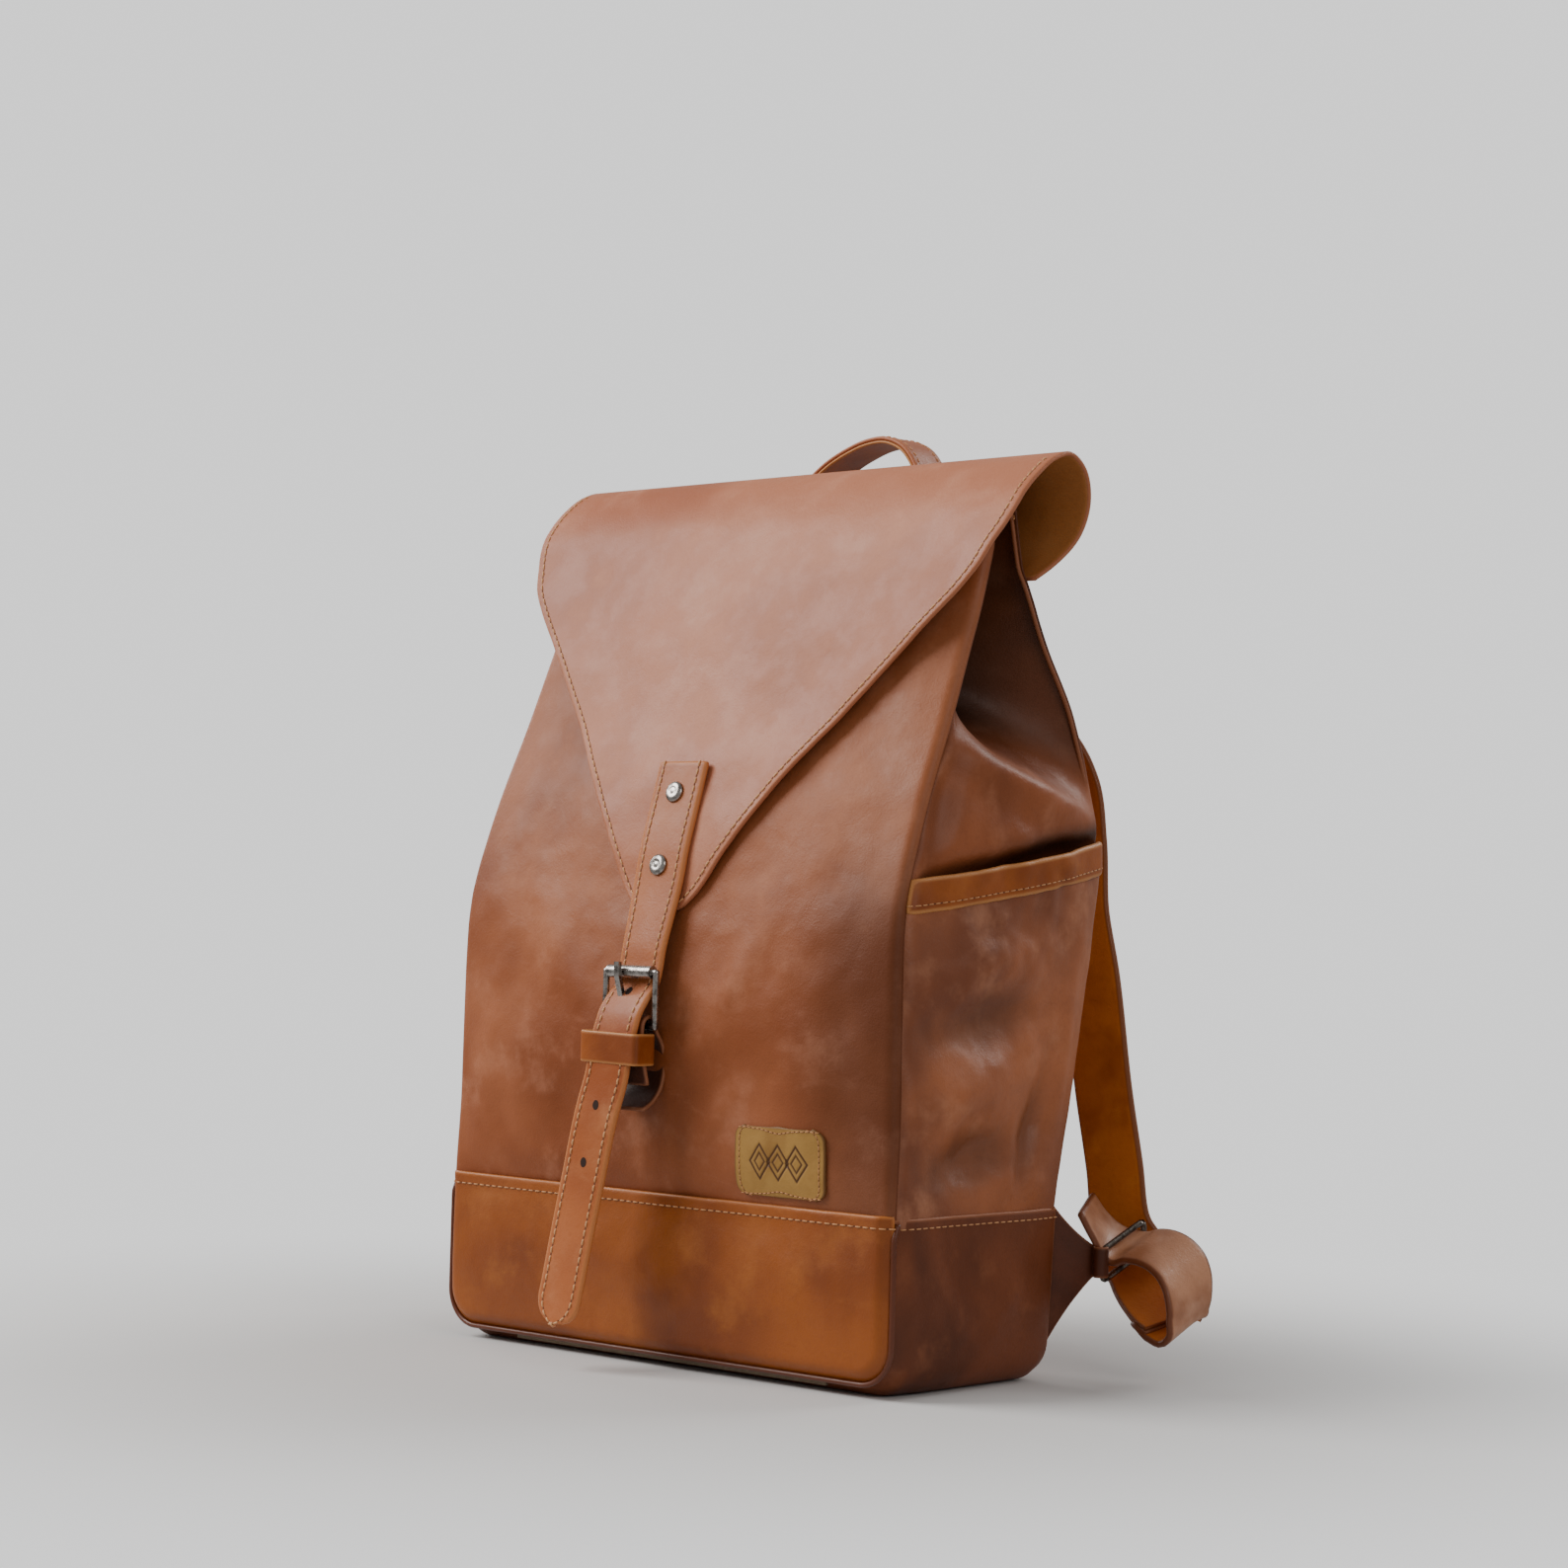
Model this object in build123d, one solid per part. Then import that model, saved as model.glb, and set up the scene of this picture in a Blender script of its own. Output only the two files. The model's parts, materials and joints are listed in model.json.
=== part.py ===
from build123d import *
import math
import os

# Leather flap backpack. Millimetres, +Z up, front faces -Y, +X to the right seen from the front.
# The origin is the middle of the base, on the surface that the bag stands on.

# ---- driving dimensions -------------------------------------------------------------------
BASE_HALF_WIDTH = 143.0      # outside of the base gusset
BODY_HALF_WIDTH = 141.0      # front and back panels at the base seam
MOUTH_HALF_WIDTH = 134.0     # the same panels at the mouth
SEAM_Z = 77.0                # seam between base and body
MOUTH_Z = 372.0              # top edge of the front panel
BASE_FRONT_Y = -56.0
BASE_BACK_Y = 54.0
CORNER_RADIUS = 20.0         # rounded bottom corners of the front outline

LEATHER = 2.0
LINING = 0.8
FOAM = 6.0
PIPING = 2.5

FLAP_HALF_WIDTH = 153.0
RIDGE_Y = 44.0               # fold line of the flap, which is its hinge
RIDGE_Z = 424.5
FOLD_GAP = 0.4               # the flap's layers stop this far in front of the fold line

BAR_Y = -78.0                # buckle: bar held by the chape, roller above it
BAR_Z = 157.0
ROLLER_Z = 182.0
WIRE_RADIUS = 1.5
BUCKLE_HALF_WIDTH = 16.0
ROLLER_RADIUS = 3.0
RUNNING_GAP = 0.08           # radial clearance of roller and prong on their bars

PRONG_LEFT = -5.5            # the prong stands left of the middle
PRONG_RIGHT = -2.5

HANDLE_HALF_WIDTH = 11.0
STRAP_HALF_WIDTH = 16.0      # shoulder strap
BILLET_HALF_WIDTH = 12.2
RING_X = 155.0
RING_NEAR_Y = 77.0
RING_FAR_Y = 111.0
RING_LOW_Z = 42.0
RING_HIGH_Z = 66.0
RING_WIRE_RADIUS = 1.8

GUSSET_FRONT_GAP = 3.6       # the gusset's edges stop this far behind the front panel's outer face
GUSSET_BACK_GAP = 2.4        # and this far in front of the back panel's
POCKET_BAND_THICKNESS = 2.8

LABEL_LEFT, LABEL_RIGHT = 54.7, 106.0
LABEL_LOW_Z, LABEL_HIGH_Z = 84.0, 115.5
LABEL_THICKNESS = 1.6

FACING_HALF_WIDTH = 105.0    # hem inside the top of the front panel
FACING_THICKNESS = 1.0
LAYER_GAP = 0.3              # air between the lining and what it lies against
INSIDE_LOW_Z = 14.0          # lower edge of the foam and of the standing lining
FOAM_HALF_WIDTH = 110.0
FOAM_TOP_Z = 340.0
BOARD_HALF_WIDTH = 100.0
BOARD_THICKNESS = 2.5
BOARD_MARGIN = 7.0           # from the board's edges to the front and back of the base
LINING_FRONT_HALF_WIDTH = 112.0
LINING_BACK_HALF_WIDTH = 106.0
LINING_FLOOR_HALF_WIDTH = 128.0
LINING_FLOOR_Z = 12.0
LINING_TOP_Z = 364.0
LINING_SIDE_FOLD = 12.0      # how far the side lining stands in at its foot

SLIP_POCKET_HALF_WIDTH = 80.0
SLIP_POCKET_FRONT_Y, SLIP_POCKET_BACK_Y = 34.0, 42.0
SLIP_POCKET_LOW_Z, SLIP_POCKET_HIGH_Z = 60.0, 210.0
SLIP_POCKET_SEAM = 1.0

TAB_HEEL_TOP, TAB_HEEL_LOW = (138.0, 57.6, SEAM_Z), (134.0, 57.6, 20.0)
TAB_TOE_TOP, TAB_TOE_LOW = (151.2, 75.2, 61.0), (151.2, 75.2, 47.0)
TAB_THICKNESS = 2.4
TAB_LOOP_RADIUS, TAB_LOOP_BORE = 4.4, 2.2
YOKE_HALF_WIDTH = 68.0
YOKE_THICKNESS = 2.4
LOWER_STRAP_THICKNESS = 2.4
LOWER_STRAP_NEAR_GAP = 5.4   # from the ring's near bar, past the tab's loop
LOWER_STRAP_FAR_GAP = 2.8    # from the ring's far bar
STRAP_LINING = 1.6           # lining of the handle and of the shoulder straps

# Side views of the panels as (y, z), outer faces, measured along the corner seams.
FRONT_LINE = [(-57.0, SEAM_Z), (-55.0, 122.0), (-55.0, 150.0), (-54.9, 175.0), (-54.7, 200.0), (-54.0, 226.0),
              (-37.5, 262.0), (-21.0, 300.0), (-9.0, 330.0), (-1.0, 350.0), (4.0, MOUTH_Z)]
BACK_LINE = [(56.0, 3.0), (56.0, SEAM_Z), (65.0, 121.0), (75.0, 161.0), (83.0, 212.0), (85.0, 244.0),
             (84.0, 265.0), (70.0, 301.0), (54.0, 339.0), (42.0, 364.0), (40.0, 370.0)]
# How far the middle of the front panel stands out at each point of FRONT_LINE.
FRONT_BULGE = [0.0, 10.0, 14.0, 12.0, 6.5, 1.5, 3.0, 2.0, 1.0, 0.0, 0.0]
# Columns of the front panel: share of the half width, and share of the bulge.
FRONT_COLUMNS = [(-1.0, 0.0), (-0.78, 0.5), (-0.32, 0.5), (-0.13, 1.0),
                 (0.13, 1.0), (0.32, 0.5), (0.78, 0.5), (1.0, 0.0)]

# Outer face of the flap from its fold line to its tip, and of the curl behind the fold line.
FLAP_LINE = [(RIDGE_Y, RIDGE_Z), (31.0, 420.0), (21.0, 412.0), (9.0, 400.0), (-3.0, 380.0), (-12.0, 360.0),
             (-21.0, 340.0), (-28.0, 320.0), (-35.0, 300.0), (-45.0, 277.0), (-51.0, 260.0), (-57.0, 240.0),
             (-60.5, 222.0), (-61.5, 216.0)]
CURL_LINE = [(RIDGE_Y, RIDGE_Z), (55.0, 418.0), (61.0, 403.0), (59.0, 387.0), (49.0, 372.0), (44.0, 366.5)]
# Right half of the flap's front outline as (x, z), from the tip up.
FLAP_EDGE = [(10.0, 217.5), (24.0, 225.0), (36.0, 240.0), (51.0, 260.0), (67.0, 280.0), (84.0, 300.0),
             (101.0, 320.0), (118.0, 340.0), (136.0, 360.0), (143.0, 370.0), (147.0, 380.0), (151.0, 390.0),
             (FLAP_HALF_WIDTH, 400.0), (FLAP_HALF_WIDTH, 430.0)]
STRAP_LINE = [(-45.0, 277.0), (-51.0, 260.0), (-57.0, 240.0), (-60.5, 222.0), (-64.5, 207.0), (-69.0, 190.0)]
FLAP_STRAP_THICKNESS = 3.0
FLAP_STRAP_HALF_WIDTH = 14.0
RIVET_HEIGHTS = [266.0, 231.0]
RIVET_POST_RADIUS = 1.5
RIVET_HOLE_RADIUS = 1.55
RIVET_CAP_RADIUS = 5.0
RIVET_CAP_HEIGHT = 2.2
RIVET_CAP_ROUNDING = 1.4
WASHER_RADIUS = 4.5
WASHER_THICKNESS = 1.0
CURL_SEAM_Z = 364.0          # the curl narrows from its waist down to this seam
CURL_WAIST_Z = 385.0
CURL_SEAM_HALF_WIDTH = 136.0

# Side gusset: height, and how far the sheet folds inward at the five columns from front to back.
GUSSET_COLUMNS = [0.0, 0.1, 0.5, 0.9, 1.0]
GUSSET_FOLD = [(60.0, [0, 0, 0, 0, 0]), (SEAM_Z, [0, 0, 0, 0, 0]), (100.0, [0, 6, 6, 6, 0]),
               (226.0, [0, 6, 6, 6, 0]), (258.0, [0, 4, 3, 4, 0]), (290.0, [0, 10, 16, 10, 0]),
               (330.0, [0, 14, 30, 12, 0]), (365.0, [0, 14, 38, 14, 0])]
# Side pocket: share of its height, and how far it stands out at the same five columns.
POCKET_BULGE = [(0.0, [0, 0, 0, 0, 0]), (0.3, [0, 1.5, 2.5, 1.5, 0]), (0.65, [0, 3, 5, 3, 0]),
                (1.0, [0, 4, 7, 4, 0])]
POCKET_TOP_FRONT_Z = 213.0
POCKET_TOP_RISE = 20.0
POCKET_BAND_HEIGHT = 13.0

# Billet: centre x, back face y, z, half width.
BILLET_ROWS = [(0.0, -69.0, 190.0, BILLET_HALF_WIDTH), (0.0, -70.3, 182.5, BILLET_HALF_WIDTH),
               (0.0, -72.2, 177.0, BILLET_HALF_WIDTH), (-0.5, -76.8, 171.0, BILLET_HALF_WIDTH),
               (-1.0, -81.0, 164.0, BILLET_HALF_WIDTH), (-1.5, -82.6, 157.0, BILLET_HALF_WIDTH),
               (-3.0, -83.6, 148.0, BILLET_HALF_WIDTH), (-5.0, -84.3, 133.0, BILLET_HALF_WIDTH),
               (-8.0, -85.5, 121.0, BILLET_HALF_WIDTH), (-14.5, -88.0, 86.0, BILLET_HALF_WIDTH),
               (-19.0, -91.0, 55.0, BILLET_HALF_WIDTH), (-21.5, -94.0, 34.0, 11.0),
               (-22.0, -94.7, 29.0, 7.0), (-22.0, -95.0, 27.0, 3.0)]

# Slot in the billet for the prong, and in the chape where the prong turns, as y and z ranges.
BILLET_SLOT_Y, BILLET_SLOT_Z = (-90.0, -70.0), (163.5, 174.5)
CHAPE_SLOT_Y, CHAPE_SLOT_Z = (-84.0, -72.5), (150.5, 162.0)
BILLET_SLOT_MARGIN, CHAPE_SLOT_MARGIN = 1.0, 2.0
CHAPE_HALF_WIDTH = 13.0
CHAPE_BEND_INSIDE, CHAPE_BEND_OUTSIDE = 2.0, 4.0
# Chape, seen from the side: the layer on the panel, which curls out below, and the short front layer.
CHAPE_BACK_LAYER = [(-76.0, BAR_Z), (-74.0, BAR_Z), (-68.857, 149.0), (-67.0, 136.0), (-69.6, 129.4),
                    (-75.0, 123.5), (-80.0, 120.5), (-80.6, 122.4), (-76.2, 125.2), (-71.4, 130.4),
                    (-69.1, 136.3), (-70.9, 149.6)]
CHAPE_FRONT_LAYER = [(-80.0, BAR_Z), (-82.0, BAR_Z), (-81.8, 150.0), (-80.5, 140.0), (-78.4, 131.0),
                     (-76.5, 131.6), (-78.5, 140.3), (-79.8, 150.0)]
ROLLER_END_GAP = 0.6
PRONG_EYE_RADIUS = 3.2
PRONG_HALF_THICKNESS = 1.0
PRONG_LINE = [(-78.5, 159.6), (-79.6, 170.0), (-82.6, 180.0), (-82.9, 186.5)]
KEEPER_LEFT, KEEPER_RIGHT = -21.5, 15.2
KEEPER_FRONT_Y, KEEPER_BACK_Y = -89.5, -75.5
KEEPER_LOW_Z, KEEPER_HIGH_Z = 141.0, 154.0
KEEPER_WALL = 1.5

# Ribbons as centre point and width direction.
HANDLE_HALF = [((50.0, 51.6, 356.0), (1.0, 0.0, 0.0)), ((50.0, 57.5, 366.0), (1.0, 0.1, 0.0)),
               ((49.0, 69.0, 384.0), (0.8, 0.6, 0.0)), ((47.0, 77.0, 404.0), (0.2, 1.0, 0.0)),
               ((42.0, 79.5, 424.0), (0.0, 1.0, 0.0)), ((32.0, 80.0, 438.0), (0.0, 1.0, 0.0)),
               ((16.0, 80.0, 445.0), (0.0, 1.0, 0.0)), ((0.0, 80.0, 446.5), (0.0, 1.0, 0.0))]
SHOULDER_ROWS = [((40.0, 55.2, 348.0), (1.0, 0.0, 0.0)), ((44.0, 76.0, 344.0), (1.0, 0.0, -0.1)),
                 ((58.0, 108.0, 328.0), (1.0, 0.0, -0.3)), ((78.0, 128.0, 302.0), (1.0, 0.0, -0.3)),
                 ((92.0, 131.0, 276.0), (1.0, 0.0, -0.2)), ((100.0, 127.0, 248.0), (1.0, 0.0, -0.1)),
                 ((107.0, 120.0, 212.0), (1.0, 0.0, 0.0)), ((119.0, 114.0, 180.0), (1.0, 0.0, 0.0)),
                 ((130.0, 112.5, 129.0), (1.0, 0.0, 0.0)), ((141.0, 112.5, 70.0), (1.0, 0.0, 0.0))]
LOWER_STRAP_LINE = [(138.0, 84.0), (149.0, 67.0), (156.0, 60.5), (165.0, 64.0), (174.0, 67.0), (188.0, 63.5),
                    (199.0, 54.0), (205.0, 40.0), (202.0, 27.0), (190.0, 19.5), (178.0, 22.0),
                    (167.0, 34.0), (160.0, 46.0), (158.0, 52.0)]

REACH = 450.0                # cutting blocks and outlines reach past the piece by this much


# ---- shape helpers ------------------------------------------------------------------------
def save(shape, node):
    """Write one piece to its own file."""
    shape.label = node
    export_step(shape, os.path.join("parts", node + ".step"))


def save_pair(shape, node):
    """Write a right-hand piece and its mirrored left-hand twin."""
    save(shape, node + "_r")
    save(mirror(shape, about=Plane.YZ), node + "_l")


def block(x0, x1, y0, y1, z0, z1):
    """A box between two corners."""
    centre = ((x0 + x1) / 2, (y0 + y1) / 2, (z0 + z1) / 2)
    return Location(centre) * Box(x1 - x0, y1 - y0, z1 - z0)


def plate_yz(points, x0, x1):
    """A side view (y, z) extruded from x0 to x1."""
    outline = make_face(Polyline(*points, close=True))
    return extrude(Plane.YZ.offset(x0) * outline, amount=x1 - x0)


def plate_xz(points, y0, y1):
    """A front view (x, z) extruded from y0 to y1."""
    outline = make_face(Polyline(*points, close=True))
    return extrude(Plane.XZ.offset(-y1) * outline, amount=y1 - y0)


def offset_line(points, distance):
    """The open line moved sideways; a positive distance is to the left of its direction."""
    moved = []
    for i in range(len(points)):
        before = points[max(i - 1, 0)]
        after = points[min(i + 1, len(points) - 1)]
        normals = []
        for a, b in ((before, points[i]), (points[i], after)):
            length = math.hypot(b[0] - a[0], b[1] - a[1])
            if length > 0:
                normals.append((-(b[1] - a[1]) / length, (b[0] - a[0]) / length))
        nx = sum(n[0] for n in normals) / len(normals)
        ny = sum(n[1] for n in normals) / len(normals)
        scale = distance / (nx * nx + ny * ny)
        moved.append((points[i][0] + nx * scale, points[i][1] + ny * scale))
    return moved


def band(points, near, far):
    """The closed outline between two offsets of one line."""
    return offset_line(points, near) + offset_line(points, far)[::-1]


def interpolate(line, z):
    """The y of a (y, z) line at height z."""
    for (y0, z0), (y1, z1) in zip(line, line[1:]):
        if z0 <= z <= z1:
            return y0 + (y1 - y0) * (z - z0) / (z1 - z0)
    return line[0][0] if z < line[0][1] else line[-1][0]


def triangle(a, b, c):
    return Face(Wire.make_polygon([Vector(*a), Vector(*b), Vector(*c)], close=True))


def sheet(outer, inner):
    """A closed solid between two grids of points of the same size."""
    rows = len(outer)
    columns = len(outer[0])
    quads = []
    for i in range(rows - 1):
        for j in range(columns - 1):
            quads.append((outer[i][j], outer[i][j + 1], outer[i + 1][j + 1], outer[i + 1][j]))
            quads.append((inner[i][j], inner[i][j + 1], inner[i + 1][j + 1], inner[i + 1][j]))
    for i in range(rows - 1):
        for j in (0, columns - 1):
            quads.append((outer[i][j], outer[i + 1][j], inner[i + 1][j], inner[i][j]))
    for j in range(columns - 1):
        for i in (0, rows - 1):
            quads.append((outer[i][j], outer[i][j + 1], inner[i][j + 1], inner[i][j]))
    faces = []
    for a, b, c, d in quads:
        faces.append(triangle(a, b, c))
        faces.append(triangle(a, c, d))
    return Solid(Shell(faces))


def ribbon(rows, half_width, near, far):
    """A strap along rows of (centre, width direction), between two distances from its centre sheet."""
    outer = []
    inner = []
    for i in range(len(rows)):
        centre = Vector(*rows[i][0])
        width = Vector(*rows[i][1]).normalized()
        tangent = Vector(*rows[min(i + 1, len(rows) - 1)][0]) - Vector(*rows[max(i - 1, 0)][0])
        normal = tangent.cross(width).normalized()
        side = width * half_width
        for grid, distance in ((outer, near), (inner, far)):
            grid.append([tuple(centre + normal * distance - side), tuple(centre + normal * distance + side)])
    return sheet(outer, inner)


def rod(start, end, radius):
    """A round bar between two points."""
    axis = Vector(*end) - Vector(*start)
    return extrude(Plane(origin=start, z_dir=axis) * Circle(radius), amount=axis.length)


def wire_frame(corners, radius):
    """A closed frame of round wire with rounded corners."""
    frame = None
    for i in range(len(corners)):
        bar = rod(corners[i], corners[(i + 1) % len(corners)], radius)
        knob = Location(corners[i]) * Sphere(radius)
        frame = bar + knob if frame is None else frame + bar + knob
    return frame


def body_half_width(z):
    """Half width of the front and back panels at height z."""
    rise = max(0.0, z - SEAM_Z) / (MOUTH_Z - SEAM_Z)
    return BODY_HALF_WIDTH - (BODY_HALF_WIDTH - MOUTH_HALF_WIDTH) * rise


# ---- body of the bag ----------------------------------------------------------------------
def front_panel():
    outer = []
    inner = []
    for (y, z), bulge in zip(FRONT_LINE, FRONT_BULGE):
        half = body_half_width(z)
        outer.append([(x * half, y - share * bulge, z) for x, share in FRONT_COLUMNS])
        inner.append([(x * half, y - share * bulge + LEATHER, z) for x, share in FRONT_COLUMNS])
    return sheet(outer, inner)


def rounded_outline(inset, top, y0, y1):
    """The bag's front outline with round bottom corners, cut level at the top."""
    half = BASE_HALF_WIDTH - inset
    height = 2 * top
    shape = Location((0, inset + height / 2)) * RectangleRounded(2 * half, height, CORNER_RADIUS - inset)
    solid = extrude(Plane.XZ.offset(-y1) * shape, amount=y1 - y0)
    return solid & block(-REACH, REACH, y0, y1, inset, top)


def front_base_band():
    return rounded_outline(PIPING, SEAM_Z, BASE_FRONT_Y - LEATHER, BASE_FRONT_Y)


def front_piping():
    outer = rounded_outline(0, SEAM_Z, BASE_FRONT_Y - PIPING, BASE_FRONT_Y)
    return outer - rounded_outline(PIPING, REACH, -REACH, REACH)


def base_gusset():
    outer = rounded_outline(0, SEAM_Z, BASE_FRONT_Y, BASE_BACK_Y)
    return outer - rounded_outline(LEATHER, REACH, -REACH, REACH)


def back_panel():
    top = BACK_LINE[-1][1]
    base = rounded_outline(1.5 * LEATHER, top, 0, REACH)
    taper = plate_xz([(-BODY_HALF_WIDTH, 0), (BODY_HALF_WIDTH, 0), (BODY_HALF_WIDTH, SEAM_Z),
                      (body_half_width(top), top), (-body_half_width(top), top),
                      (-BODY_HALF_WIDTH, SEAM_Z)], 0, REACH)
    wall = plate_yz(band(BACK_LINE, 0, LEATHER), -BASE_HALF_WIDTH, BASE_HALF_WIDTH)
    return wall & base & taper


def gusset_grid(extra, front_gap, back_gap, rows):
    """Points of the right side gusset, moved inward by extra."""
    grid = []
    for z, folds in rows:
        front = interpolate(FRONT_LINE, z) + front_gap
        back = interpolate(BACK_LINE, z) - back_gap
        line = []
        for share, fold in zip(GUSSET_COLUMNS, folds):
            line.append((body_half_width(z) - fold - extra, front + share * (back - front), z))
        grid.append(line)
    return grid


def side_gusset():
    return sheet(gusset_grid(0, GUSSET_FRONT_GAP, GUSSET_BACK_GAP, GUSSET_FOLD),
                 gusset_grid(LEATHER, GUSSET_FRONT_GAP, GUSSET_BACK_GAP, GUSSET_FOLD))


def pocket_point(share, z, stand_out):
    front = interpolate(FRONT_LINE, z)
    back = interpolate(BACK_LINE, z)
    return (body_half_width(z) + stand_out, front + share * (back - front), z)


def side_pocket():
    outer = []
    inner = []
    for height_share, bulges in POCKET_BULGE:
        for grid, thickness in ((outer, LEATHER), (inner, 0)):
            line = []
            for share, bulge in zip(GUSSET_COLUMNS, bulges):
                top = POCKET_TOP_FRONT_Z + POCKET_TOP_RISE * share
                z = SEAM_Z + height_share * (top - SEAM_Z)
                line.append(pocket_point(share, z, bulge + thickness))
            grid.append(line)
    return sheet(outer, inner)


def pocket_band():
    outer = []
    inner = []
    for rise in (0.0, POCKET_BAND_HEIGHT):
        for grid, thickness in ((outer, POCKET_BAND_THICKNESS), (inner, 0)):
            line = []
            for share, bulge in zip(GUSSET_COLUMNS, POCKET_BULGE[-1][1]):
                z = POCKET_TOP_FRONT_Z + POCKET_TOP_RISE * share + rise
                line.append(pocket_point(share, z, bulge + thickness))
            grid.append(line)
    return sheet(outer, inner)


def label_patch():
    (y0, z0), (y1, z1) = FRONT_LINE[0], FRONT_LINE[1]
    slope = (y1 - FRONT_BULGE[1] * FRONT_COLUMNS[1][1] - y0) / (z1 - z0)
    line = [(y0 + slope * (z - z0), z) for z in (LABEL_LOW_Z, LABEL_HIGH_Z)]
    return plate_yz(band(line, 0, LABEL_THICKNESS), LABEL_LEFT, LABEL_RIGHT)


def mouth_facing():
    """Leather hem inside the top of the front panel."""
    near = LEATHER + LAYER_GAP
    outline = band(FRONT_LINE[-3:], -near, -near - FACING_THICKNESS)
    return plate_yz(outline, -FACING_HALF_WIDTH, FACING_HALF_WIDTH)


def back_inside(top):
    """The back panel's side view between the foot of the lining and a height."""
    return [(BACK_LINE[0][0], INSIDE_LOW_Z)] + [p for p in BACK_LINE[1:] if p[1] <= top]


def back_foam():
    return plate_yz(band(back_inside(FOAM_TOP_Z), LEATHER, LEATHER + FOAM), -FOAM_HALF_WIDTH, FOAM_HALF_WIDTH)


def base_board():
    low = LEATHER + LAYER_GAP
    return block(-BOARD_HALF_WIDTH, BOARD_HALF_WIDTH, BASE_FRONT_Y + BOARD_MARGIN, BASE_BACK_Y - BOARD_MARGIN,
                 low, low + BOARD_THICKNESS)


def lining_front():
    near = LEATHER + LAYER_GAP
    foot_y = FRONT_LINE[0][0] + LEATHER
    line = [(foot_y, INSIDE_LOW_Z), (foot_y, SEAM_Z)] + FRONT_LINE[1:-3]
    return plate_yz(band(line, -near, -near - LINING), -LINING_FRONT_HALF_WIDTH, LINING_FRONT_HALF_WIDTH)


def lining_back():
    near = LEATHER + FOAM + LAYER_GAP
    return plate_yz(band(back_inside(LINING_TOP_Z), near, near + LINING),
                    -LINING_BACK_HALF_WIDTH, LINING_BACK_HALF_WIDTH)


def lining_base():
    return block(-LINING_FLOOR_HALF_WIDTH, LINING_FLOOR_HALF_WIDTH, BASE_FRONT_Y + 2.5 * LEATHER,
                 BASE_BACK_Y - LEATHER - FOAM - 3 * LINING, LINING_FLOOR_Z, LINING_FLOOR_Z + LINING)


def lining_side():
    """Side lining: flat from front to back at each height, inside the gusset's deepest fold."""
    rows = [(INSIDE_LOW_Z, [LINING_SIDE_FOLD] * len(GUSSET_COLUMNS))]
    for z, folds in GUSSET_FOLD[2:-1]:
        rows.append((z, [max(folds)] * len(GUSSET_COLUMNS)))
    near = 2 * LEATHER
    front_gap, back_gap = 3 * LEATHER, 2 * FOAM
    return sheet(gusset_grid(near, front_gap, back_gap, rows),
                 gusset_grid(near + LINING, front_gap, back_gap, rows))


def inner_pocket():
    """Slip pocket of lining cloth on the inside of the back, open at the top."""
    half, low, high = SLIP_POCKET_HALF_WIDTH, SLIP_POCKET_LOW_Z, SLIP_POCKET_HIGH_Z
    near, far = SLIP_POCKET_FRONT_Y, SLIP_POCKET_BACK_Y
    front = block(-half, half, near, near + LINING, low, high)
    foot = block(-half, half, near, far, low, low + LINING)
    ends = block(-half, -half + SLIP_POCKET_SEAM, near, far, low, high)
    return front + foot + ends + block(half - SLIP_POCKET_SEAM, half, near, far, low, high)


def strap_tab():
    """Leather triangle in the back seam with a loop round the ring's bar."""
    aside = Vector(0.8, -0.6, 0) * TAB_THICKNESS
    outer = [[TAB_HEEL_TOP, TAB_TOE_TOP], [TAB_HEEL_LOW, TAB_TOE_LOW]]
    inner = [[tuple(Vector(*p) + aside) for p in row] for row in outer]
    ring = Circle(TAB_LOOP_RADIUS) - Circle(TAB_LOOP_BORE)
    foot = Plane(origin=(RING_X, RING_NEAR_Y, TAB_TOE_LOW[2]))
    return sheet(outer, inner) + extrude(foot * ring, amount=TAB_TOE_TOP[2] - TAB_TOE_LOW[2])


def strap_yoke():
    """Leather patch on the back panel that holds the shoulder straps and the handle."""
    return plate_yz(band(BACK_LINE[-3:-1], 0, -YOKE_THICKNESS), -YOKE_HALF_WIDTH, YOKE_HALF_WIDTH)


# ---- flap ---------------------------------------------------------------------------------
def flap_outline():
    right = FLAP_EDGE
    left = [(-x, z) for x, z in right[::-1]]
    return plate_xz(right + left, -REACH, REACH)


def curl_outline():
    half = [(CURL_SEAM_HALF_WIDTH, CURL_SEAM_Z), (FLAP_HALF_WIDTH, CURL_WAIST_Z), (FLAP_HALF_WIDTH, REACH)]
    return plate_xz(half + [(-x, z) for x, z in half[::-1]], 0, REACH)


def rivet_plane(height):
    """Plane on the flap's outer face at a rivet, with its normal out of the flap."""
    for (y0, z0), (y1, z1) in zip(FLAP_LINE, FLAP_LINE[1:]):
        if z1 <= height <= z0:
            y = y0 + (y1 - y0) * (z0 - height) / (z0 - z1)
            return Plane(origin=(0, y, height), x_dir=(1, 0, 0), z_dir=(0, z1 - z0, y0 - y1))


def with_rivet_holes(shape):
    for height in RIVET_HEIGHTS:
        depth = 2 * (FLAP_STRAP_THICKNESS + LEATHER)
        hole = extrude(rivet_plane(height) * Circle(RIVET_HOLE_RADIUS), amount=depth, both=True)
        shape = shape - hole
    return shape


def flap_layer(near, far):
    """One layer of the flap, cut on the upright plane of the fold line."""
    layer = plate_yz(band(FLAP_LINE, near, far), -FLAP_HALF_WIDTH, FLAP_HALF_WIDTH)
    in_front = block(-REACH, REACH, -REACH, RIDGE_Y - FOLD_GAP, 0, REACH)
    return with_rivet_holes(layer & flap_outline() & in_front)


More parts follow.
